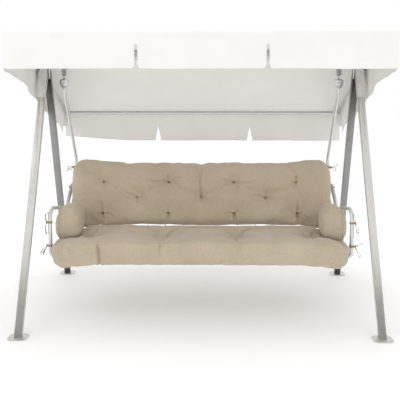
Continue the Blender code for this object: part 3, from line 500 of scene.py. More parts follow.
# ---- metal and plastic of the frame ----
metalFinish = {
    "galvanised": ("galvanised", galvanised),
    "bright_zinc": ("bright_zinc", brightZinc),
    "silver_tube": ("silver_tube", silverCoat),
    "dark_steel": ("dark_steel", springSteel),
    "knob_plastic": ("knob_plastic", blackPlastic),
    "cap_plastic": ("cap_plastic", whitePlastic),
}
roundKinds = ("hanger_tube", "arm_tube", "seat_frame", "back_frame", "canopy_arm", "canopy_rail",
              "crossbar_brace", "hook_eye", "spring", "arm_bolt", "tilt_knob", "rail_cap", "apex_rivet",
              "apex_bolt", "leg_", "crossbar")      # pieces with rounded shading


def finishFrame():
    slots = {entry["node"]: entry["material_slot"] for entry in frame["record"]["subparts"]}
    for name in sorted(nodes):
        if slots[name] not in metalFinish:
            continue
        slot, material = metalFinish[slots[name]]
        # rear legs take the darker copy of the galvanised steel: painted shade, not a different finish
        if name.startswith("leg_rear"):
            material = shadedRearLegZinc
        if name.startswith(roundKinds):
            smoothPiece(name, material)
        else:
            for i in range(len(nodes[name].material_slots)):
                nodes[name].material_slots[i].material = material


finishFrame()
print("frame finished")


# ---- canopy: one sheet over the rails, with a skirt on every side ----
canopy = {
    "cloth": 0.0012,
    "cut": (2.11, 1.93),       # roof with its front and rear skirts, flat
    "ridgeRadius": 0.0955,     # of the curve over the crossbar, about the tilt pivot
    "sag": 0.010,
    "crown": 0.004,
    "slit": 0.017,
    "slitShift": 0.013,
    "frontSlitHeight": 0.13,
    "rearSlitHeight": 0.105,
    "hemRadius": 0.024,        # of the flaps' lower corners, in front and at the rear
    "rearHemRadius": 0.012,
    "ripple": 0.0055,
    "hemTube": 0.0016,
    "skirtRows": 12,
    # side flaps' lower edge: distance behind the crossbar, height above the ground
    "sideHem": ((-0.67, 1.503), (-0.552, 1.487), (-0.43, 1.458), (-0.336, 1.437), (-0.228, 1.41),
                (-0.198, 1.39), (-0.094, 1.346), (-0.029, 1.312), (0.039, 1.28), (0.22, 1.232),
                (0.422, 1.17), (0.523, 1.147), (0.64, 1.068), (0.70, 1.125), (0.77, 1.112)),
}


def railCentre(node):
    low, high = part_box(node)
    return (low + high) / 2


def roofLine():
    # front lip, over the front rail, the ridge, the rear rail and the rear lip, as (y, z)
    front = railCentre("canopy_rail_front")
    rear = railCentre("canopy_rail_rear")
    low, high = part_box("canopy_roof")
    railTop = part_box("canopy_rail_front")[1].z - front.z + 0.003
    radius = canopy["ridgeRadius"]

    def tangent(point, towards):
        dy, dz = point[0] - tiltPivot.y, point[1] - tiltPivot.z
        return math.atan2(dz, dy) + towards * math.acos(radius / math.hypot(dy, dz))

    frontTop = (front.y, front.z + railTop)
    rearTop = (rear.y + 0.003, rear.z + railTop)
    first = tangent(frontTop, -1)
    last = tangent(rearTop, 1)
    arc = []
    for i in range(7):
        a = first + (last - first) * i / 6
        arc.append((tiltPivot.y + radius * math.cos(a), tiltPivot.z + radius * math.sin(a)))
    line = [(low.y + 0.0015, front.z + 0.001), (low.y + 0.0035, front.z + railTop * 0.72), frontTop]
    line += evenSteps(frontTop, arc[0], 22, canopy["sag"]) + arc
    line += evenSteps(arc[-1], rearTop, 26, canopy["sag"] * 0.8) + [rearTop]
    line += [(high.y - 0.0035, rear.z + railTop * 0.6), (high.y - 0.0015, rear.z - 0.002)]
    return line


def evenSteps(start, end, count, sag):
    steps = []
    for i in range(1, count):
        t = i / count
        steps.append((start[0] + (end[0] - start[0]) * t,
                      start[1] + (end[1] - start[1]) * t - sag * math.sin(math.pi * t) ** 2))
    return steps


def flapColumns(half):
    # x of each column, with the flap it belongs to and the distance to that flap's nearer end
    shift = canopy["slitShift"]
    ends = (-half, -half / 3 + shift, half / 3 + shift, half)
    close = [0, 0.003, 0.008, 0.015, 0.024]
    columns = []
    for flap in range(3):
        start = ends[flap]
        third = ends[flap + 1] - start
        inner = [0.024 + (third - 0.048) * i / 20 for i in range(1, 20)]
        offsets = close + inner + [third - c for c in close[::-1]]
        for offset in offsets:
            columns.append((start + offset, flap, min(offset, third - offset)))
    return columns


def hemLift(distance, radius):
    if distance >= radius:
        return 0.0
    return radius - math.sqrt(max(radius ** 2 - (radius - distance) ** 2, 0))


def slitGap(share, height, drop, width, end):
    # half-width of a slit: straight-sided in front, a pointed wedge at the rear
    up = (1 - share) * drop
    if up >= height:
        return 0.0
    if end < 0:
        return width / 2 * min(1.0, math.sqrt((height - up) / (0.12 * height)))
    return (width + 0.026) / 2 * (1 - up / height) ** 1.2


def canopySheet():
    line = roofLine()
    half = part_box("canopy_roof")[1].x - 0.001
    columns = flapColumns(half)
    skirtRows = canopy["skirtRows"]
    bm = bmesh.new()
    cache = {}
    # the two columns at a slit are one column on the roof
    columnOf = [i if i == 0 or columns[i - 1][0] < x - 1e-6 else i - 1 for i, (x, _, _) in enumerate(columns)]

    def vert(key, co):
        if key not in cache:
            cache[key] = bm.verts.new(co)
        return cache[key]

    def ripple(x, y, z, hang):
        broad = noise.noise(Vector((x * 2.3, y * 2.3, z * 1.2 + 4.0)))
        value = broad + 0.5 * noise.noise(Vector((x * 6, y * 6, z * 3)))
        return value * canopy["ripple"] * (0.25 + hang)

    # roof
    for j, (y, z) in enumerate(line):
        for i, (x, _, _) in enumerate(columns):
            wave = noise.noise(Vector((x * 1.6, y * 2.4, 1.7))) * 0.0035
            edge = canopy["crown"] * (x / half) ** 4
            loose = min(1.0, max(0.0, abs(y - tiltPivot.y) - 0.05) / 0.12)      # taut over the brackets
            lift = (wave - edge) * loose if 3 < j < len(line) - 4 else 0
            vert(("roof", columnOf[i], j), (x, y, z + lift))
    for j in range(len(line) - 1):
        for i in range(len(columns) - 1):
            a, b = columnOf[i], columnOf[i + 1]
            if a != b:
                bm.faces.new([cache[("roof", a, j)], cache[("roof", b, j)],
                              cache[("roof", b, j + 1)], cache[("roof", a, j + 1)]])
    hems = []
    # front and rear skirts
    for end, edge in ((-1, 0), (1, len(line) - 1)):
        node = "canopy_valance_front" if end < 0 else "canopy_valance_rear"
        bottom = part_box(node)[0].z
        y0, z0 = line[edge]
        height = canopy["frontSlitHeight"] if end < 0 else canopy["rearSlitHeight"]
        radius = canopy["hemRadius"] if end < 0 else canopy["rearHemRadius"]
        hem = [[], [], []]
        for i, (x, flap, distance) in enumerate(columns):
            lower = bottom + hemLift(distance, radius)
            droop = 0.004 * noise.noise(Vector((x * 3.1, end * 5.0, 0.3)))
            # the rear skirt is short at its left end
            raised = 0.034 * max(0.0, -x / half - 0.55) / 0.45 if end > 0 else 0.0
            drop = z0 - lower - droop - raised
            isSlit = (distance < 1e-6) and (abs(x) < half * 0.9)
            side = -1 if (i + 1 < len(columns) and abs(columns[i + 1][0] - x) < 1e-6) else 1
            for r in range(1, skirtRows + 1):
                share = r / skirtRows
                gap = slitGap(share, height, z0 - bottom, canopy["slit"], end)
                middle = canopy["slitShift"] + math.copysign(half / 3, x)
                inward = gap * max(0, 1 - distance / 0.03) if abs(x - middle) < 0.03 + 1e-6 else 0
                towards = side if isSlit else math.copysign(1, x - middle)
                outward = ripple(x, end, share, share) + end * 0.004 * share
                co = (x + towards * inward, y0 + outward, z0 - drop * share)
                key = (end, i if (isSlit and gap > 0) else ("shared", columnOf[i]), r)
                vert(key, co)
                cache[(end, "at", i, r)] = cache[key]
            cache[(end, "at", i, 0)] = cache[("roof", columnOf[i], edge)]
            hem[flap].append(cache[(end, "at", i, skirtRows)])
        for i in range(len(columns) - 1):
            if columns[i][1] != columns[i + 1][1]:
                continue
            for r in range(skirtRows):
                quad = [cache[(end, "at", i, r)], cache[(end, "at", i + 1, r)],
                        cache[(end, "at", i + 1, r + 1)], cache[(end, "at", i, r + 1)]]
                bm.faces.new(quad)
        for flap in range(3):
            hems.append([v.co.copy() for v in hem[flap]])
    # side flaps
    for side, i in ((-1, 0), (1, len(columns) - 1)):
        hem = []
        rows = {}
        for j, (y, z) in enumerate(line):
            behind = y - tiltPivot.y
            lower = sideHemHeight(behind)
            for r in range(1, skirtRows + 1):
                share = r / skirtRows
                fold = 0.008 * share * math.sin(behind * 21 + 1.3 * math.sin(behind * 7))
                outward = ripple(side * 3.0, y, share, share) * 0.8 + fold - 0.006 * share
                outward = min(outward, 0.006)
                rows[(j, r)] = bm.verts.new((side * (half + outward), y, z + (lower - z) * share))
            rows[(j, 0)] = cache[("roof", columnOf[i], j)]
            hem.append(rows[(j, skirtRows)].co.copy())
        for j in range(len(line) - 1):
            for r in range(skirtRows):
                bm.faces.new([rows[(j, r)], rows[(j + 1, r)], rows[(j + 1, r + 1)], rows[(j, r + 1)]])
        hems.append(hem)
    bmesh.ops.recalc_face_normals(bm, faces=bm.faces)
    mesh = bpy.data.meshes.new("canopy_cover")
    bm.to_mesh(mesh)
    bm.free()
    obj = bpy.data.objects.new("canopy_cover", mesh)
    scene.collection.objects.link(obj)
    subdivide = obj.modifiers.new("fine", "SUBSURF")
    subdivide.levels = 1
    subdivide.render_levels = 1
    subdivide.boundary_smooth = "PRESERVE_CORNERS"
    solid = obj.modifiers.new("cloth", "SOLIDIFY")
    solid.thickness = canopy["cloth"]
    solid.offset = 0
    applied(obj)
    obj.data.shade_smooth()
    obj.data.set_sharp_from_angle(angle=math.radians(60))
    obj.data.materials.append(canopyCloth)
    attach(obj, "canopy")
    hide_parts("canopy_roof", "canopy_valance_front", "canopy_valance_rear", "canopy_valance_left",
                "canopy_valance_right")
    return obj, hems


def sideHemHeight(behind):
    hem = canopy["sideHem"]
    for (y0, z0), (y1, z1) in zip(hem, hem[1:]):
        if behind <= y1:
            t = (behind - y0) / (y1 - y0)
            t = min(max(t, 0), 1)
            return z0 + (z1 - z0) * t - 0.004 * math.sin(math.pi * t)
    return hem[-1][1]


def addHems(hems):
    pieces = []
    for i, hem in enumerate(hems):
        mesh = tubeMesh(f"canopy_hem_{i}", smoothCurve(hem, 2), canopy["hemTube"], 6)
        pieces.append(newObject(f"canopy_hem_{i}", mesh, "canopy", hemTape))
    return pieces


cover, hems = canopySheet()
hemPieces = addHems(hems)
print("canopy sheet made:", len(cover.data.vertices), "points")


# ---- cushions ----
frameTube = 0.025     # across the back frame's tube
seatPad = {
    "voxel": 0.008,
    "grow": (0.010, 0.0, 0.0),
    "pressure": 4.5,
    "slack": 0.05,
    "cap": 0.028,
    "tufts": ((-0.70, -0.20), (-0.235, -0.225), (0.222, -0.225), (0.70, -0.20)),
    "tuftDepth": 0.030,
    "tuftWidth": 0.040,
    "endRadius": 0.060,
    "puff": 0.006,
}
backPad = {
    "voxel": 0.008,
    "grow": (0.0, -0.004, 0.008),
    "pressure": 4.5,
    "slack": 0.05,
    "cap": 0.028,
    "lowTop": (-0.662, -0.22, 0.22, 0.642),      # tufts of the low and the top row
    "middle": (-0.434, 0.0, 0.437),
    "heights": (0.564, 0.664, 0.764),
    "tuftDepth": 0.020,
    "tuftWidth": 0.060,
    "cornerRadius": 0.055,
}
armPad = {
    "voxel": 0.006,
    "grow": (0.004, 0.004, 0.0),
    "pressure": 5.0,
    "slack": 0.04,
    "cap": 0.016,
    "cornerRadius": 0.080,
    "outside": 0.024,     # swells this far past the solid, towards the armrest
    "taper": 0.018,       # its rear end is this much narrower
}


def roundCorners(a, b, halfA, halfB, radius, lower=None):
    # pulls the corners of a box section in to an arc; a and b are measured from its middle
    radiusB = np.where(b < 0, lower or radius, radius)
    pa = np.abs(a) - (halfA - radiusB)
    pb = np.abs(b) - (halfB - radiusB)
    inCorner = (pa > 0) & (pb > 0)
    length = np.hypot(pa, pb)
    factor = np.where(inCorner, np.maximum(pa, pb) / np.maximum(length, 1e-9), 1.0)
    return (np.where(inCorner, np.sign(a) * (halfA - radiusB + pa * factor), a),
            np.where(inCorner, np.sign(b) * (halfB - radiusB + pb * factor), b))


def remeshed(name, mesh, voxel):
    obj = bpy.data.objects.new(name, mesh)
    scene.collection.objects.link(obj)
    remesh = obj.modifiers.new("voxels", "REMESH")
    remesh.mode = "VOXEL"
    remesh.voxel_size = voxel
    return applied(obj)


def relax(mesh, points, times, weight=0.5):
    # evens out the steps that voxels leave
    edges = np.zeros(len(mesh.edges) * 2, np.int64)
    mesh.edges.foreach_get("vertices", edges)
    edges = edges.reshape(-1, 2)
    count = np.bincount(edges.ravel(), minlength=len(points))
    for _ in range(times):
        total = np.zeros_like(points)
        for axis in range(3):
            total[:, axis] += np.bincount(edges[:, 0], points[edges[:, 1], axis], len(points))
            total[:, axis] += np.bincount(edges[:, 1], points[edges[:, 0], axis], len(points))
        points = points * (1 - weight) + weight * total / count[:, None]
    return points


def inflate(obj, pad, pinned):
    # cloth swells under pressure between its pinned tufts
    start = pointsOf(obj.data)
    group = obj.vertex_groups.new(name="tufts")
    group.add([int(i) for i in np.nonzero(pinned)[0]], 1.0, "REPLACE")
    cloth = obj.modifiers.new("swell", "CLOTH")
    settings = cloth.settings
    settings.quality = 5
    settings.mass = 0.25
    settings.tension_stiffness = 15
    settings.compression_stiffness = 15
    settings.shear_stiffness = 5
    settings.bending_stiffness = 0.2
    settings.use_pressure = True
    settings.uniform_pressure_force = pad["pressure"]
    settings.vertex_group_mass = "tufts"
    settings.shrink_min = -pad["slack"]
    settings.effector_weights.gravity = 0
    cloth.collision_settings.use_collision = False
    for step in range(1, 21):
        scene.frame_set(step)
    swollen = pointsOf(evaluatedMesh(obj))
    obj.modifiers.clear()
    obj.vertex_groups.clear()
    scene.frame_set(1)
    move = swollen - start
    length = np.linalg.norm(move, axis=1)
    print(f"{obj.name}: moved {1000 * length.mean():.1f} mm on average, {1000 * length.max():.1f} mm at most")
    keep = np.where(length > pad["cap"], pad["cap"] / np.maximum(length, 1e-9), 1.0)
    return start + move * keep[:, None]


def fitted(values, low, high):
    # stretches values between two limits
    return low + (values - values.min()) * (high - low) / (values.max() - values.min())


def softLimit(values, limit, sign, room):
    # eases values towards a limit instead of cutting them off flat
    over = (values - (limit - sign * room)) * sign
    eased = room * np.tanh(np.maximum(over, 0) / room)
    return np.where(over > 0, limit - sign * room + sign * eased, values)


def alongLine(u, v, line):
    # distance from each point to a line of (u, v) corners, and how far along it the nearest place is
    best = np.full(len(u), 1e9)
    share = np.zeros(len(u))
    lengths = [math.dist(a, b) for a, b in zip(line, line[1:])]
    total = sum(lengths)
    done = 0.0
    for (a, b), length in zip(zip(line, line[1:]), lengths):
        du, dv = b[0] - a[0], b[1] - a[1]
        t = np.clip(((u - a[0]) * du + (v - a[1]) * dv) / (length ** 2), 0, 1)
        distance = np.hypot(u - a[0] - t * du, v - a[1] - t * dv)
        nearer = distance < best
        best = np.where(nearer, distance, best)
        share = np.where(nearer, (done + t * length) / total, share)
        done += length
    return best, share


def crease(u, v, line, depth, width, fadeStart=0.0, fadeEnd=1.0):
    # a pulled crease: a narrow groove with a soft ridge on each side; fades set its depth at both ends
    distance, share = alongLine(u, v, line)
    strength = depth * ((1 - fadeStart) + fadeStart * np.clip(share * 4, 0, 1))
    strength = strength * (1 - fadeEnd * share ** 1.5)
    groove = np.exp(-(distance / width) ** 2)
    ridge = 0.45 * np.exp(-((distance - 2.1 * width) / (1.1 * width)) ** 2)
    return strength * (ridge - groove)


def starCreases(u, v, tuft, seed, reach, depth, width):
    # short pulls that cross at a tuft, mostly level and upright
    total = np.zeros(len(u))
    dice = random.Random(seed)
    for k in range(5):
        a = math.pi / 2 * k + dice.uniform(-0.22, 0.22) if k < 4 else dice.uniform(0, 2 * math.pi)
        length = reach * dice.uniform(0.45, 1.15)
        bend = dice.uniform(-0.3, 0.3)
        middle = (tuft[0] + 0.5 * length * math.cos(a), tuft[1] + 0.5 * length * math.sin(a))
        tip = (tuft[0] + length * math.cos(a + bend), tuft[1] + length * math.sin(a + bend))
        total += crease(u, v, [tuft, middle, tip], depth * dice.uniform(0.5, 1.0), width)
    return total


def wobble(points, scale, seed):
    return np.array([noise.noise(Vector((p[0] * scale, p[1] * scale, p[2] * scale + seed))) for p in points])


def finishPad(obj, name, node):
    obj.name = name
    obj.data.name = name
    obj.data.materials.clear()
    obj.data.materials.append(cushionCloth)
    obj.data.shade_smooth()
    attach(obj, "seat")
    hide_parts(node)
    return obj


def subdivided(obj):
    fine = obj.modifiers.new("fine", "SUBSURF")
    fine.levels = 1
    fine.render_levels = 1
    return applied(obj)


def backLean():
    # how far the backrest leans back for each metre up
    low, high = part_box("back_frame")
    return (high.y - low.y - frameTube) / (high.z - low.z - frameTube)


def makeBackPad():
    low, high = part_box("back_cushion")
    lean = backLean()
    mesh = weldedCopy("back_cushion")
    points = pointsOf(mesh)
    points[:, 1] -= lean * (points[:, 2] - low.z)          # stood upright while it is worked on
    front, rear = points[:, 1].min(), points[:, 1].max()
    middle = (front + rear) / 2
    centre = np.array([0, middle, (low.z + high.z) / 2])
    half = np.array([high.x, (rear - front) / 2, (high.z - low.z) / 2])
    points = centre + (points - centre) * (1 + np.array(backPad["grow"]) / half)
    setPoints(mesh, points)
    obj = remeshed("back_pad", mesh, backPad["voxel"])
    points = pointsOf(obj.data)
    half = half + np.array(backPad["grow"])
    u, v = points[:, 0] / half[0], (points[:, 2] - centre[2]) / half[2]
    domed = np.clip(1 - np.abs(u) ** 14, 0, 1) ** 0.5 * np.clip(1 - np.maximum(v, 0) ** 7, 0, 1) ** 0.42
    domed = 0.35 + 0.65 * domed
    points[:, 1] = rear + (points[:, 1] - rear) * domed
    x, z = roundCorners(points[:, 0], points[:, 2] - centre[2], half[0], half[2],
                        backPad["cornerRadius"], 0.02)
    points[:, 0], points[:, 2] = x, z + centre[2]
    points = relax(obj.data, points, 4)
    tufts = [(x, backPad["heights"][row]) for x in backPad["lowTop"] for row in (0, 2)]
    tufts += [(x, backPad["heights"][1]) for x in backPad["middle"]]
    pinned = points[:, 1] > rear - 0.004
    pull = np.zeros(len(points))
    for x, z in tufts:
        distance = np.hypot(points[:, 0] - x, points[:, 2] - z)
        pull = np.maximum(pull, np.exp(-(distance / backPad["tuftWidth"]) ** 1.5))
        pinned |= (distance < 0.016) & (points[:, 1] < middle)
    onFace = np.clip((middle + 0.01 - points[:, 1]) / 0.03, 0, 1)
    points[:, 1] += pull * onFace * backPad["tuftDepth"]
    setPoints(obj.data, points)
    points = relax(obj.data, inflate(obj, backPad, pinned), 9)
    points[:, 1] = softLimit(points[:, 1], rear, 1, 0.004)
    points[:, 0] = fitted(points[:, 0], low.x - 0.008, high.x + 0.004)
    points[:, 1] = fitted(points[:, 1], front - 0.012, rear)
    points[:, 2] = fitted(points[:, 2], low.z - 0.030, high.z + 0.017)
    setPoints(obj.data, points)
    subdivided(obj)
    points = pointsOf(obj.data)
    u, v = points[:, 0], points[:, 2]
    offset = np.zeros(len(points))
    for i, tuft in enumerate(tufts):
        offset += starCreases(u, v, tuft, 40 + i, 0.085, 0.0095, 0.0062)
        distance = np.hypot(u - tuft[0], v - tuft[1])
        offset += 0.008 * np.exp(-(distance / 0.009) ** 2)
    lowRow, midRow, topRow = backPad["heights"]
    for x in backPad["lowTop"]:                          # pulled down from the low tufts to the seat
        line = [(x, lowRow), (x + 0.006, low.z + 0.04), (x - 0.004, low.z - 0.03)]
        offset += crease(u, v, line, 0.0120, 0.0070, 0, 0.2)
    offset += crease(u, v, [(0.0, high.z + 0.03), (-0.006, topRow), (0.0, midRow)], 0.0100, 0.0075, 0, 0.2)
    swags = (((-0.22, topRow), (-0.14, topRow + 0.034), (-0.05, topRow + 0.05)),
             ((-0.22, topRow), (-0.33, topRow + 0.008), (-0.44, topRow + 0.03)),
             ((0.22, topRow), (0.13, topRow + 0.03), (0.05, topRow + 0.052)),
             ((0.22, topRow), (0.33, topRow + 0.0), (0.42, topRow + 0.03)),
             ((-0.662, topRow), (-0.72, topRow + 0.045), (-0.80, topRow + 0.085)),
             ((-0.662, topRow), (-0.685, topRow + 0.05), (-0.73, topRow + 0.095)),
             ((0.642, topRow), (0.635, topRow + 0.05), (0.60, topRow + 0.085)),
             ((-0.662, lowRow), (-0.667, lowRow + 0.04), (-0.67, lowRow + 0.09)),
             ((0.642, lowRow), (0.65, lowRow + 0.045), (0.645, lowRow + 0.10)),
             ((-0.434, midRow), (-0.50, midRow + 0.03), (-0.56, midRow + 0.075)),
             ((0.437, midRow), (0.34, midRow + 0.022), (0.27, midRow + 0.06)))
    for line in swags:
        offset += crease(u, v, line, 0.0085, 0.0080)
    facing = np.clip((middle - 0.008 - points[:, 1]) / 0.03, 0, 1)
    points[:, 1] -= offset * facing
    wave = wobble(points * np.array([1, 0, 0]), 5.0, 3.1)
    ends = 0.008 * np.clip((np.abs(u) - 0.5) / 0.3, 0, 1) * np.clip((0.875 - np.abs(u)) / 0.06, 0, 1)
    dip = -0.008 * np.exp(-(u / 0.03) ** 2) - 0.004 * np.exp(-((u + 0.2) / 0.05) ** 2)
    points[:, 2] += (0.005 * wave + ends + dip) * np.clip((v - topRow) / 0.1, 0, 1)
    points += 0.0012 * wobble(points, 28, 9.0)[:, None] * np.array([0.3, -1, 0.3])
    points[:, 1] = np.minimum(points[:, 1], rear)
    points[:, 1] += lean * (points[:, 2] - low.z)
    setPoints(obj.data, points)
    return finishPad(obj, "back_pad", "back_cushion")


def makeSeatPad():
    low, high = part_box("seat_cushion")
    mesh = weldedCopy("seat_cushion")
    points = pointsOf(mesh)
    frontY, rearY = low.y, high.y
    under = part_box("seat_grid")[1].z + 0.0022
    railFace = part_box("seat_frame")[0].y - 0.0015
    points[:, 0] *= 1 + seatPad["grow"][0] / high.x
    setPoints(mesh, points)
    obj = remeshed("seat_pad", mesh, seatPad["voxel"])
    points = pointsOf(obj.data)
    halfX = high.x + seatPad["grow"][0]
    halfZ = (high.z - low.z) / 2
    radius = seatPad["endRadius"]
    x, z = roundCorners(points[:, 0], points[:, 2] - low.z - halfZ, halfX, halfZ, radius * 0.7, radius)
    points[:, 0], points[:, 2] = x, np.maximum(z + low.z + halfZ, np.where(points[:, 1] > railFace, under, 0))
    halfY = (rearY - frontY) / 2
    x, y = roundCorners(points[:, 0], points[:, 1] - frontY - halfY, halfX, halfY, 0.05, 0.07)
    points[:, 0], points[:, 1] = x, y + frontY + halfY
    points = relax(obj.data, points, 4)
    pull = np.zeros(len(points))
    pinned = np.zeros(len(points), bool)
    for x, y in seatPad["tufts"]:
        distance = np.hypot(points[:, 0] - x, points[:, 1] - y)
        pull = np.maximum(pull, np.exp(-(distance / seatPad["tuftWidth"]) ** 1.5))
        pinned |= distance < 0.012
    onTop = np.clip((points[:, 2] - under - 0.035) / 0.03, 0, 1)
    points[:, 2] -= pull * onTop * seatPad["tuftDepth"]
    # a roll along the rear, and one swelling in each bay between the tufts
    across = np.abs(np.sin(math.pi * (points[:, 0] + 0.235) / 0.457)) ** 0.6
    bays = across * np.clip(1 - ((points[:, 1] + 0.24) / 0.19) ** 2, 0, 1)
    roll = np.exp(-((points[:, 1] + 0.045) / 0.04) ** 2)
    points[:, 2] += onTop * seatPad["puff"] * (bays + 0.9 * roll)
    pinned |= (points[:, 2] < under + 0.004) & (points[:, 1] > railFace - 0.004)
    setPoints(obj.data, points)
    points = relax(obj.data, inflate(obj, seatPad, pinned), 4)
    # it stays clear of the rail it hangs over, of the grid under it and of the back cushion on it
    behind = points[:, 1] > railFace - 0.002
    points[:, 2] = np.where(behind, np.maximum(points[:, 2], under), points[:, 2])
    hanging = points[:, 2] < under
    points[:, 1] = np.where(hanging, np.minimum(points[:, 1], railFace), points[:, 1])
    above = points[:, 2] > under
    drop = (under - low.z - 0.012) / (under - points[:, 2].min())
    rise = (high.z + 0.014 - under) / (points[:, 2].max() - under)
    points[:, 2] = under + (points[:, 2] - under) * np.where(above, rise, drop)
    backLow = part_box("back_cushion")[0]
    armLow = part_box("arm_cushion_right")[0]
    underBack = np.clip((points[:, 1] - backLow.y + 0.022) / 0.02, 0, 1)
    underArm = np.clip((np.abs(points[:, 0]) - armLow.x - 0.005) / 0.03, 0, 1)
    underArm *= np.clip((points[:, 1] - armLow.y + 0.01) / 0.03, 0, 1)
    pressed = np.maximum(underBack, underArm)
    points[:, 2] = np.minimum(points[:, 2], high.z + 0.018 - 0.048 * pressed)
    points[:, 1] = softLimit(points[:, 1], frontY - 0.010, -1, 0.015)
    points[:, 1] = softLimit(points[:, 1], rearY + 0.004, 1, 0.01)
    points[:, 0] = fitted(points[:, 0], low.x - 0.024, high.x + 0.020)
    setPoints(obj.data, points)
    subdivided(obj)
    points = pointsOf(obj.data)
    x, y, z = points[:, 0], points[:, 1], points[:, 2]
    top = np.clip((z - under - 0.035) / 0.03, 0, 1)
    offset = np.zeros(len(points))
    for i, tuft in enumerate(seatPad["tufts"]):
        offset += starCreases(x, y, tuft, 80 + i, 0.11, 0.0090, 0.0075)
        offset -= 0.004 * np.exp(-(np.hypot(x - tuft[0], y - tuft[1]) / 0.014) ** 2)
    swags = (((-0.74, -0.25), (-0.70, -0.17), (-0.62, -0.07), (-0.48, -0.045), (-0.34, -0.09),
              (-0.235, -0.225)),
             ((-0.235, -0.225), (-0.14, -0.11), (0.0, -0.075), (0.13, -0.11), (0.222, -0.225)),
             ((0.222, -0.225), (0.33, -0.10), (0.46, -0.05), (0.60, -0.09), (0.70, -0.20), (0.80, -0.29)))
    for line in swags:
        offset += crease(x, y, line, 0.0120, 0.0100, 0, 0.1)
    gatherLine = [(-0.86, -0.32), (-0.72, -0.355), (-0.35, -0.36), (0.1, -0.36)]
    gather = crease(x, y, gatherLine, 0.0055, 0.007, 0, 0.5)
    points[:, 2] += (offset + gather) * top
    face = np.clip((frontY + 0.055 - y) / 0.03, 0, 1) * np.clip((high.z - 0.005 - z) / 0.02, 0, 1)
    # folds down the front: line, depth, width and how much each fades at its end
    frontFolds = (([(-0.615, high.z), (-0.605, high.z - 0.07), (-0.60, low.z)], 0.0150, 0.0080, 0.1),
                  ([(-0.238, high.z), (-0.243, high.z - 0.04), (-0.24, high.z - 0.10)], 0.0130, 0.0070, 1.0),
                  ([(0.128, low.z), (0.13, low.z + 0.06), (0.128, low.z + 0.10)], 0.0110, 0.0075, 1.0),
                  ([(0.24, high.z), (0.235, high.z - 0.03), (0.23, high.z - 0.06)], 0.0100, 0.0075, 1.0),
                  ([(0.80, high.z - 0.03), (0.83, low.z + 0.07), (0.81, low.z)], 0.0050, 0.0090, 1.0),
                  ([(-0.80, high.z - 0.02), (-0.75, low.z + 0.09), (-0.73, low.z + 0.03)],
                   0.0060, 0.0090, 1.0),
                  ([(-0.84, high.z - 0.05), (-0.83, low.z + 0.05), (-0.79, low.z)], 0.0060, 0.0090, 1.0))
    folds = np.zeros(len(points))
    for line, depth, width, fade in frontFolds:
        folds += crease(x, z, line, depth, width, 0, fade)
    points[:, 1] -= folds * face
    points += 0.0016 * wobble(points, 22, 5.0)[:, None] * np.array([0.3, -0.6, 1.0])
    clear = (points[:, 1] > railFace - 0.001) & (points[:, 2] < under + 0.02)
    points[:, 2] = np.where(clear, np.maximum(points[:, 2], under), points[:, 2])
    setPoints(obj.data, points)
    return finishPad(obj, "seat_pad", "seat_cushion")


def makeArmPad(side):
    name = "arm_cushion_" + ("right" if side > 0 else "left")
    low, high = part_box(name)
    mesh = weldedCopy(name)
    points = pointsOf(mesh)
    centre = np.array((low + high) / 2)
    half = np.array((high - low) / 2)
    points = centre + (points - centre) * (1 + np.array(armPad["grow"]) / half)
    setPoints(mesh, points)
    obj = remeshed(name + "_pad", mesh, armPad["voxel"])
    points = pointsOf(obj.data)
    half = half + np.array(armPad["grow"])
    radius = armPad["cornerRadius"]
    away = points - centre
    inner = away[:, 0] * side < 0                       # the end towards the sitter is the rounder one
    x, z = roundCorners(away[:, 0], away[:, 2], half[0], half[2], radius, 0.05)
    away[:, 0] = np.where(inner, x, 0.35 * x + 0.65 * away[:, 0])
    away[:, 2] = np.where(inner, z, 0.35 * z + 0.65 * away[:, 2])
    away[:, 1], away[:, 2] = roundCorners(away[:, 1], away[:, 2], half[1], half[2], radius, 0.055)
    points = relax(obj.data, away + centre, 10)
    setPoints(obj.data, points)
    points = inflate(obj, armPad, points[:, 2] < low.z + 0.002)
    reach = np.abs(points[:, 0])
    depthShare = (points[:, 1] - low.y) / (high.y - low.y)
    inside = min(abs(low.x), abs(high.x))
    outside = max(abs(low.x), abs(high.x))
    reach = fitted(reach, inside, outside + armPad["outside"])
    reach += armPad["taper"] * depthShare * (outside - reach) / (outside - inside)
    besideTube = np.clip((points[:, 2] - low.z - 0.09) / 0.04, 0, 1) * np.clip(depthShare, 0, 1)
    reach -= (armPad["outside"] + 0.004) * besideTube * np.clip((reach - inside) / 0.12, 0, 1)
    points[:, 0] = side * reach
    points[:, 1] = fitted(points[:, 1], low.y - 0.008, high.y + 0.008)
    points[:, 2] = fitted(points[:, 2], low.z - 0.034, high.z - 0.006)
    setPoints(obj.data, points)
    subdivided(obj)
    points = pointsOf(obj.data)
    x, y, z = points[:, 0], points[:, 1], points[:, 2]
    local = (x - centre[0]) * side
    # sewn seam round the outer end, and soft pulls towards it
    ring = np.hypot((y - centre[1]) / half[1], (z - centre[2]) / half[2])
    seam = np.exp(-((local - half[0] + 0.020) / 0.004) ** 2) * np.clip((ring - 0.55) / 0.2, 0, 1)
    inward = np.stack([np.zeros(len(x)), centre[1] - y, centre[2] - z], 1)
    inward /= np.maximum(np.linalg.norm(inward, axis=1), 1e-6)[:, None]
    points += inward * (seam * 0.0055)[:, None]
    pulls = np.sin(np.arctan2(z - centre[2], y - centre[1]) * 23 + 3 * np.sin(local * 40))
    points += inward * (0.0014 * pulls * np.exp(-((local - half[0] + 0.03) / 0.03) ** 2))[:, None]
    points += 0.0020 * wobble(points, 20, 2.0 + side)[:, None] * np.array([side, -0.6, 0.8])
    points[:, 2] = np.maximum(points[:, 2], low.z - 0.034)
    setPoints(obj.data, points)
    return finishPad(obj, name + "_pad", name)


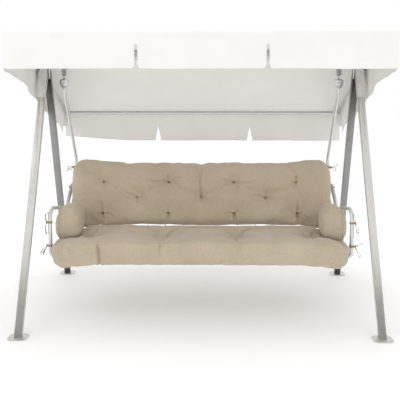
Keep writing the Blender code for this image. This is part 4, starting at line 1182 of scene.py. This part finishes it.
backPiece = makeBackPad()
print("back pad made:", len(backPiece.data.vertices), "points")
seatPiece = makeSeatPad()
print("seat pad made:", len(seatPiece.data.vertices), "points")
for side in (-1, 1):
    makeArmPad(side)
print("arm pads made")


# ---- ties ----
tie = {
    "width": 0.013,
    "thick": 0.0016,
    "clear": 0.0012,
    "hangerRadius": 0.011,     # of the tubes that the bands go round
    "armRadius": 0.013,
}


def wrapPoints(centre, axis, radius, turns=1.0, start=0.0):
    axis = Vector(axis).normalized()
    first = Vector((1, 0, 0))
    first = (first - axis * first.dot(axis)).normalized()
    second = axis.cross(first)
    points = []
    for i in range(int(20 * turns) + 1):
        a = start + 2 * math.pi * turns * i / int(20 * turns)
        points.append(Vector(centre) + (first * math.cos(a) + second * math.sin(a)) * radius
                      + axis * (tie["thick"] * 1.2 * i / 20))
    return points


def joinMeshes(name, meshes):
    bm = bmesh.new()
    for mesh in meshes:
        bm.from_mesh(mesh)
    result = bpy.data.meshes.new(name)
    bm.to_mesh(result)
    bm.free()
    result.shade_smooth()
    result.set_sharp_from_angle(angle=math.radians(40))
    return result


def makeBow(name, node, tubeCentre, tubeAxis, tubeRadius, side, lines):
    # a band round the tube, a knot outside it, and loops and tails given from the knot
    radius = tubeRadius + tie["clear"] + tie["thick"] / 2
    ring = wrapPoints(tubeCentre, tubeAxis, radius)
    band = ribbonMesh(name, ring, tie["width"], tie["thick"], Vector(tubeAxis))
    knot = Vector(tubeCentre) + Vector((side * (radius + 0.004), 0, 0))
    meshes = [band]
    knotLine = [knot + Vector((0.005 * math.cos(a) * side, 0.004 * math.sin(a), -0.006 + 0.012 * t))
                for t, a in [(i / 12, 4 * math.pi * i / 12) for i in range(13)]]
    meshes.append(tubeMesh(name, knotLine, 0.0034, 8))
    for line in lines:
        path = smoothCurve([knot + Vector((side * x, y, z)) for x, y, z in line], 8)
        across = [Vector((0.15, 1.0, 0.35 * math.sin(i * 0.35))) for i in range(len(path))]
        widths = [tie["width"] * (0.55 + 0.45 * min(1, 4 * i / len(path))) for i in range(len(path))]
        meshes.append(ribbonMesh(name, path, widths, tie["thick"], across))
    obj = newObject(name, joinMeshes(name, meshes), "seat", tieCloth)
    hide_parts(node)
    return obj


def makeTies(side):
    word = "right" if side > 0 else "left"
    low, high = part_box(f"hanger_tube_{word}")
    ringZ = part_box(f"back_tie_{word}")[1].z - 0.014
    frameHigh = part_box("back_frame")[1]
    lean = backLean()
    x = (low.x + high.x) / 2
    y = frameHigh.y - frameTube / 2 + lean * (ringZ - frameHigh.z + frameTube / 2)
    left = [((0, 0, 0), (0.016, 0.0, 0.004), (0.036, 0.0, -0.002), (0.046, 0, -0.012), (0.034, 0, -0.012),
             (0.014, 0, -0.005), (0.002, 0, 0)),
            ((0, 0, 0), (0.012, 0, -0.014), (0.030, 0, -0.020), (0.050, 0, -0.026))]
    right = [((0, 0, 0), (0.014, 0, -0.006), (0.030, 0, -0.022), (0.040, 0, -0.016), (0.032, 0, 0.0),
              (0.014, 0, 0.002), (0.002, 0, 0)),
             ((0, 0, 0), (0.020, 0, 0.002), (0.040, 0, 0.012), (0.054, 0, 0.020))]
    makeBow(f"back_bow_{word}", f"back_tie_{word}", (x, y, ringZ), (0, lean, 1), tie["hangerRadius"], side,
            right if side > 0 else left)
    armLow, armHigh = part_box(f"arm_tube_{word}")
    armRadius = tie["armRadius"]
    postX = side * (abs(armHigh.x if side > 0 else armLow.x) - armRadius)
    postY = armLow.y + armRadius
    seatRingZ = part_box(f"seat_tie_{word}")[1].z - 0.010
    left = [((0, 0, 0), (0.014, -0.004, -0.012), (0.034, -0.004, -0.030), (0.040, -0.004, -0.048),
             (0.026, -0.004, -0.040), (0.010, -0.002, -0.016), (0.002, 0, 0)),
            ((0, 0, 0), (0.010, -0.004, -0.020), (0.022, -0.004, -0.046), (0.028, -0.004, -0.060))]
    right = [((0, 0, 0), (0.018, -0.004, 0.006), (0.034, -0.004, 0.016), (0.046, -0.004, 0.020)),
             ((0, 0, 0), (0.008, -0.004, -0.020), (0.020, -0.004, -0.046), (0.032, -0.004, -0.068)),
             ((0, 0, 0), (0.014, -0.004, -0.022), (0.030, -0.004, -0.044), (0.042, -0.004, -0.064))]
    makeBow(f"seat_bow_{word}", f"seat_tie_{word}", (postX, postY, seatRingZ), (0, 0, 1), armRadius, side,
            right if side > 0 else left)
    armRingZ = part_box(f"arm_tie_{word}")[1].z - 0.010
    left = [((0, 0, 0), (0.006, -0.010, 0.030), (0.004, -0.004, 0.052), (-0.010, 0.002, 0.062)),
            ((0, 0, 0), (0.008, -0.008, -0.030), (0.006, -0.008, -0.058), (0.0, -0.006, -0.072))]
    right = [((0, 0, 0), (-0.004, -0.010, 0.040), (-0.014, -0.006, 0.066)),
             ((0, 0, 0), (0.012, -0.006, -0.020), (0.022, -0.006, -0.044), (0.018, -0.006, -0.060),
              (0.008, -0.006, -0.040), (0.002, -0.004, -0.010)),
             ((0, 0, 0), (0.006, -0.006, -0.040), (0.012, -0.006, -0.075), (0.010, -0.006, -0.100))]
    makeBow(f"arm_bow_{word}", f"arm_tie_{word}", (postX, postY, armRingZ), (0, 0, 1), armRadius, side,
            right if side > 0 else left)


for side in (-1, 1):
    makeTies(side)
print("ties made")
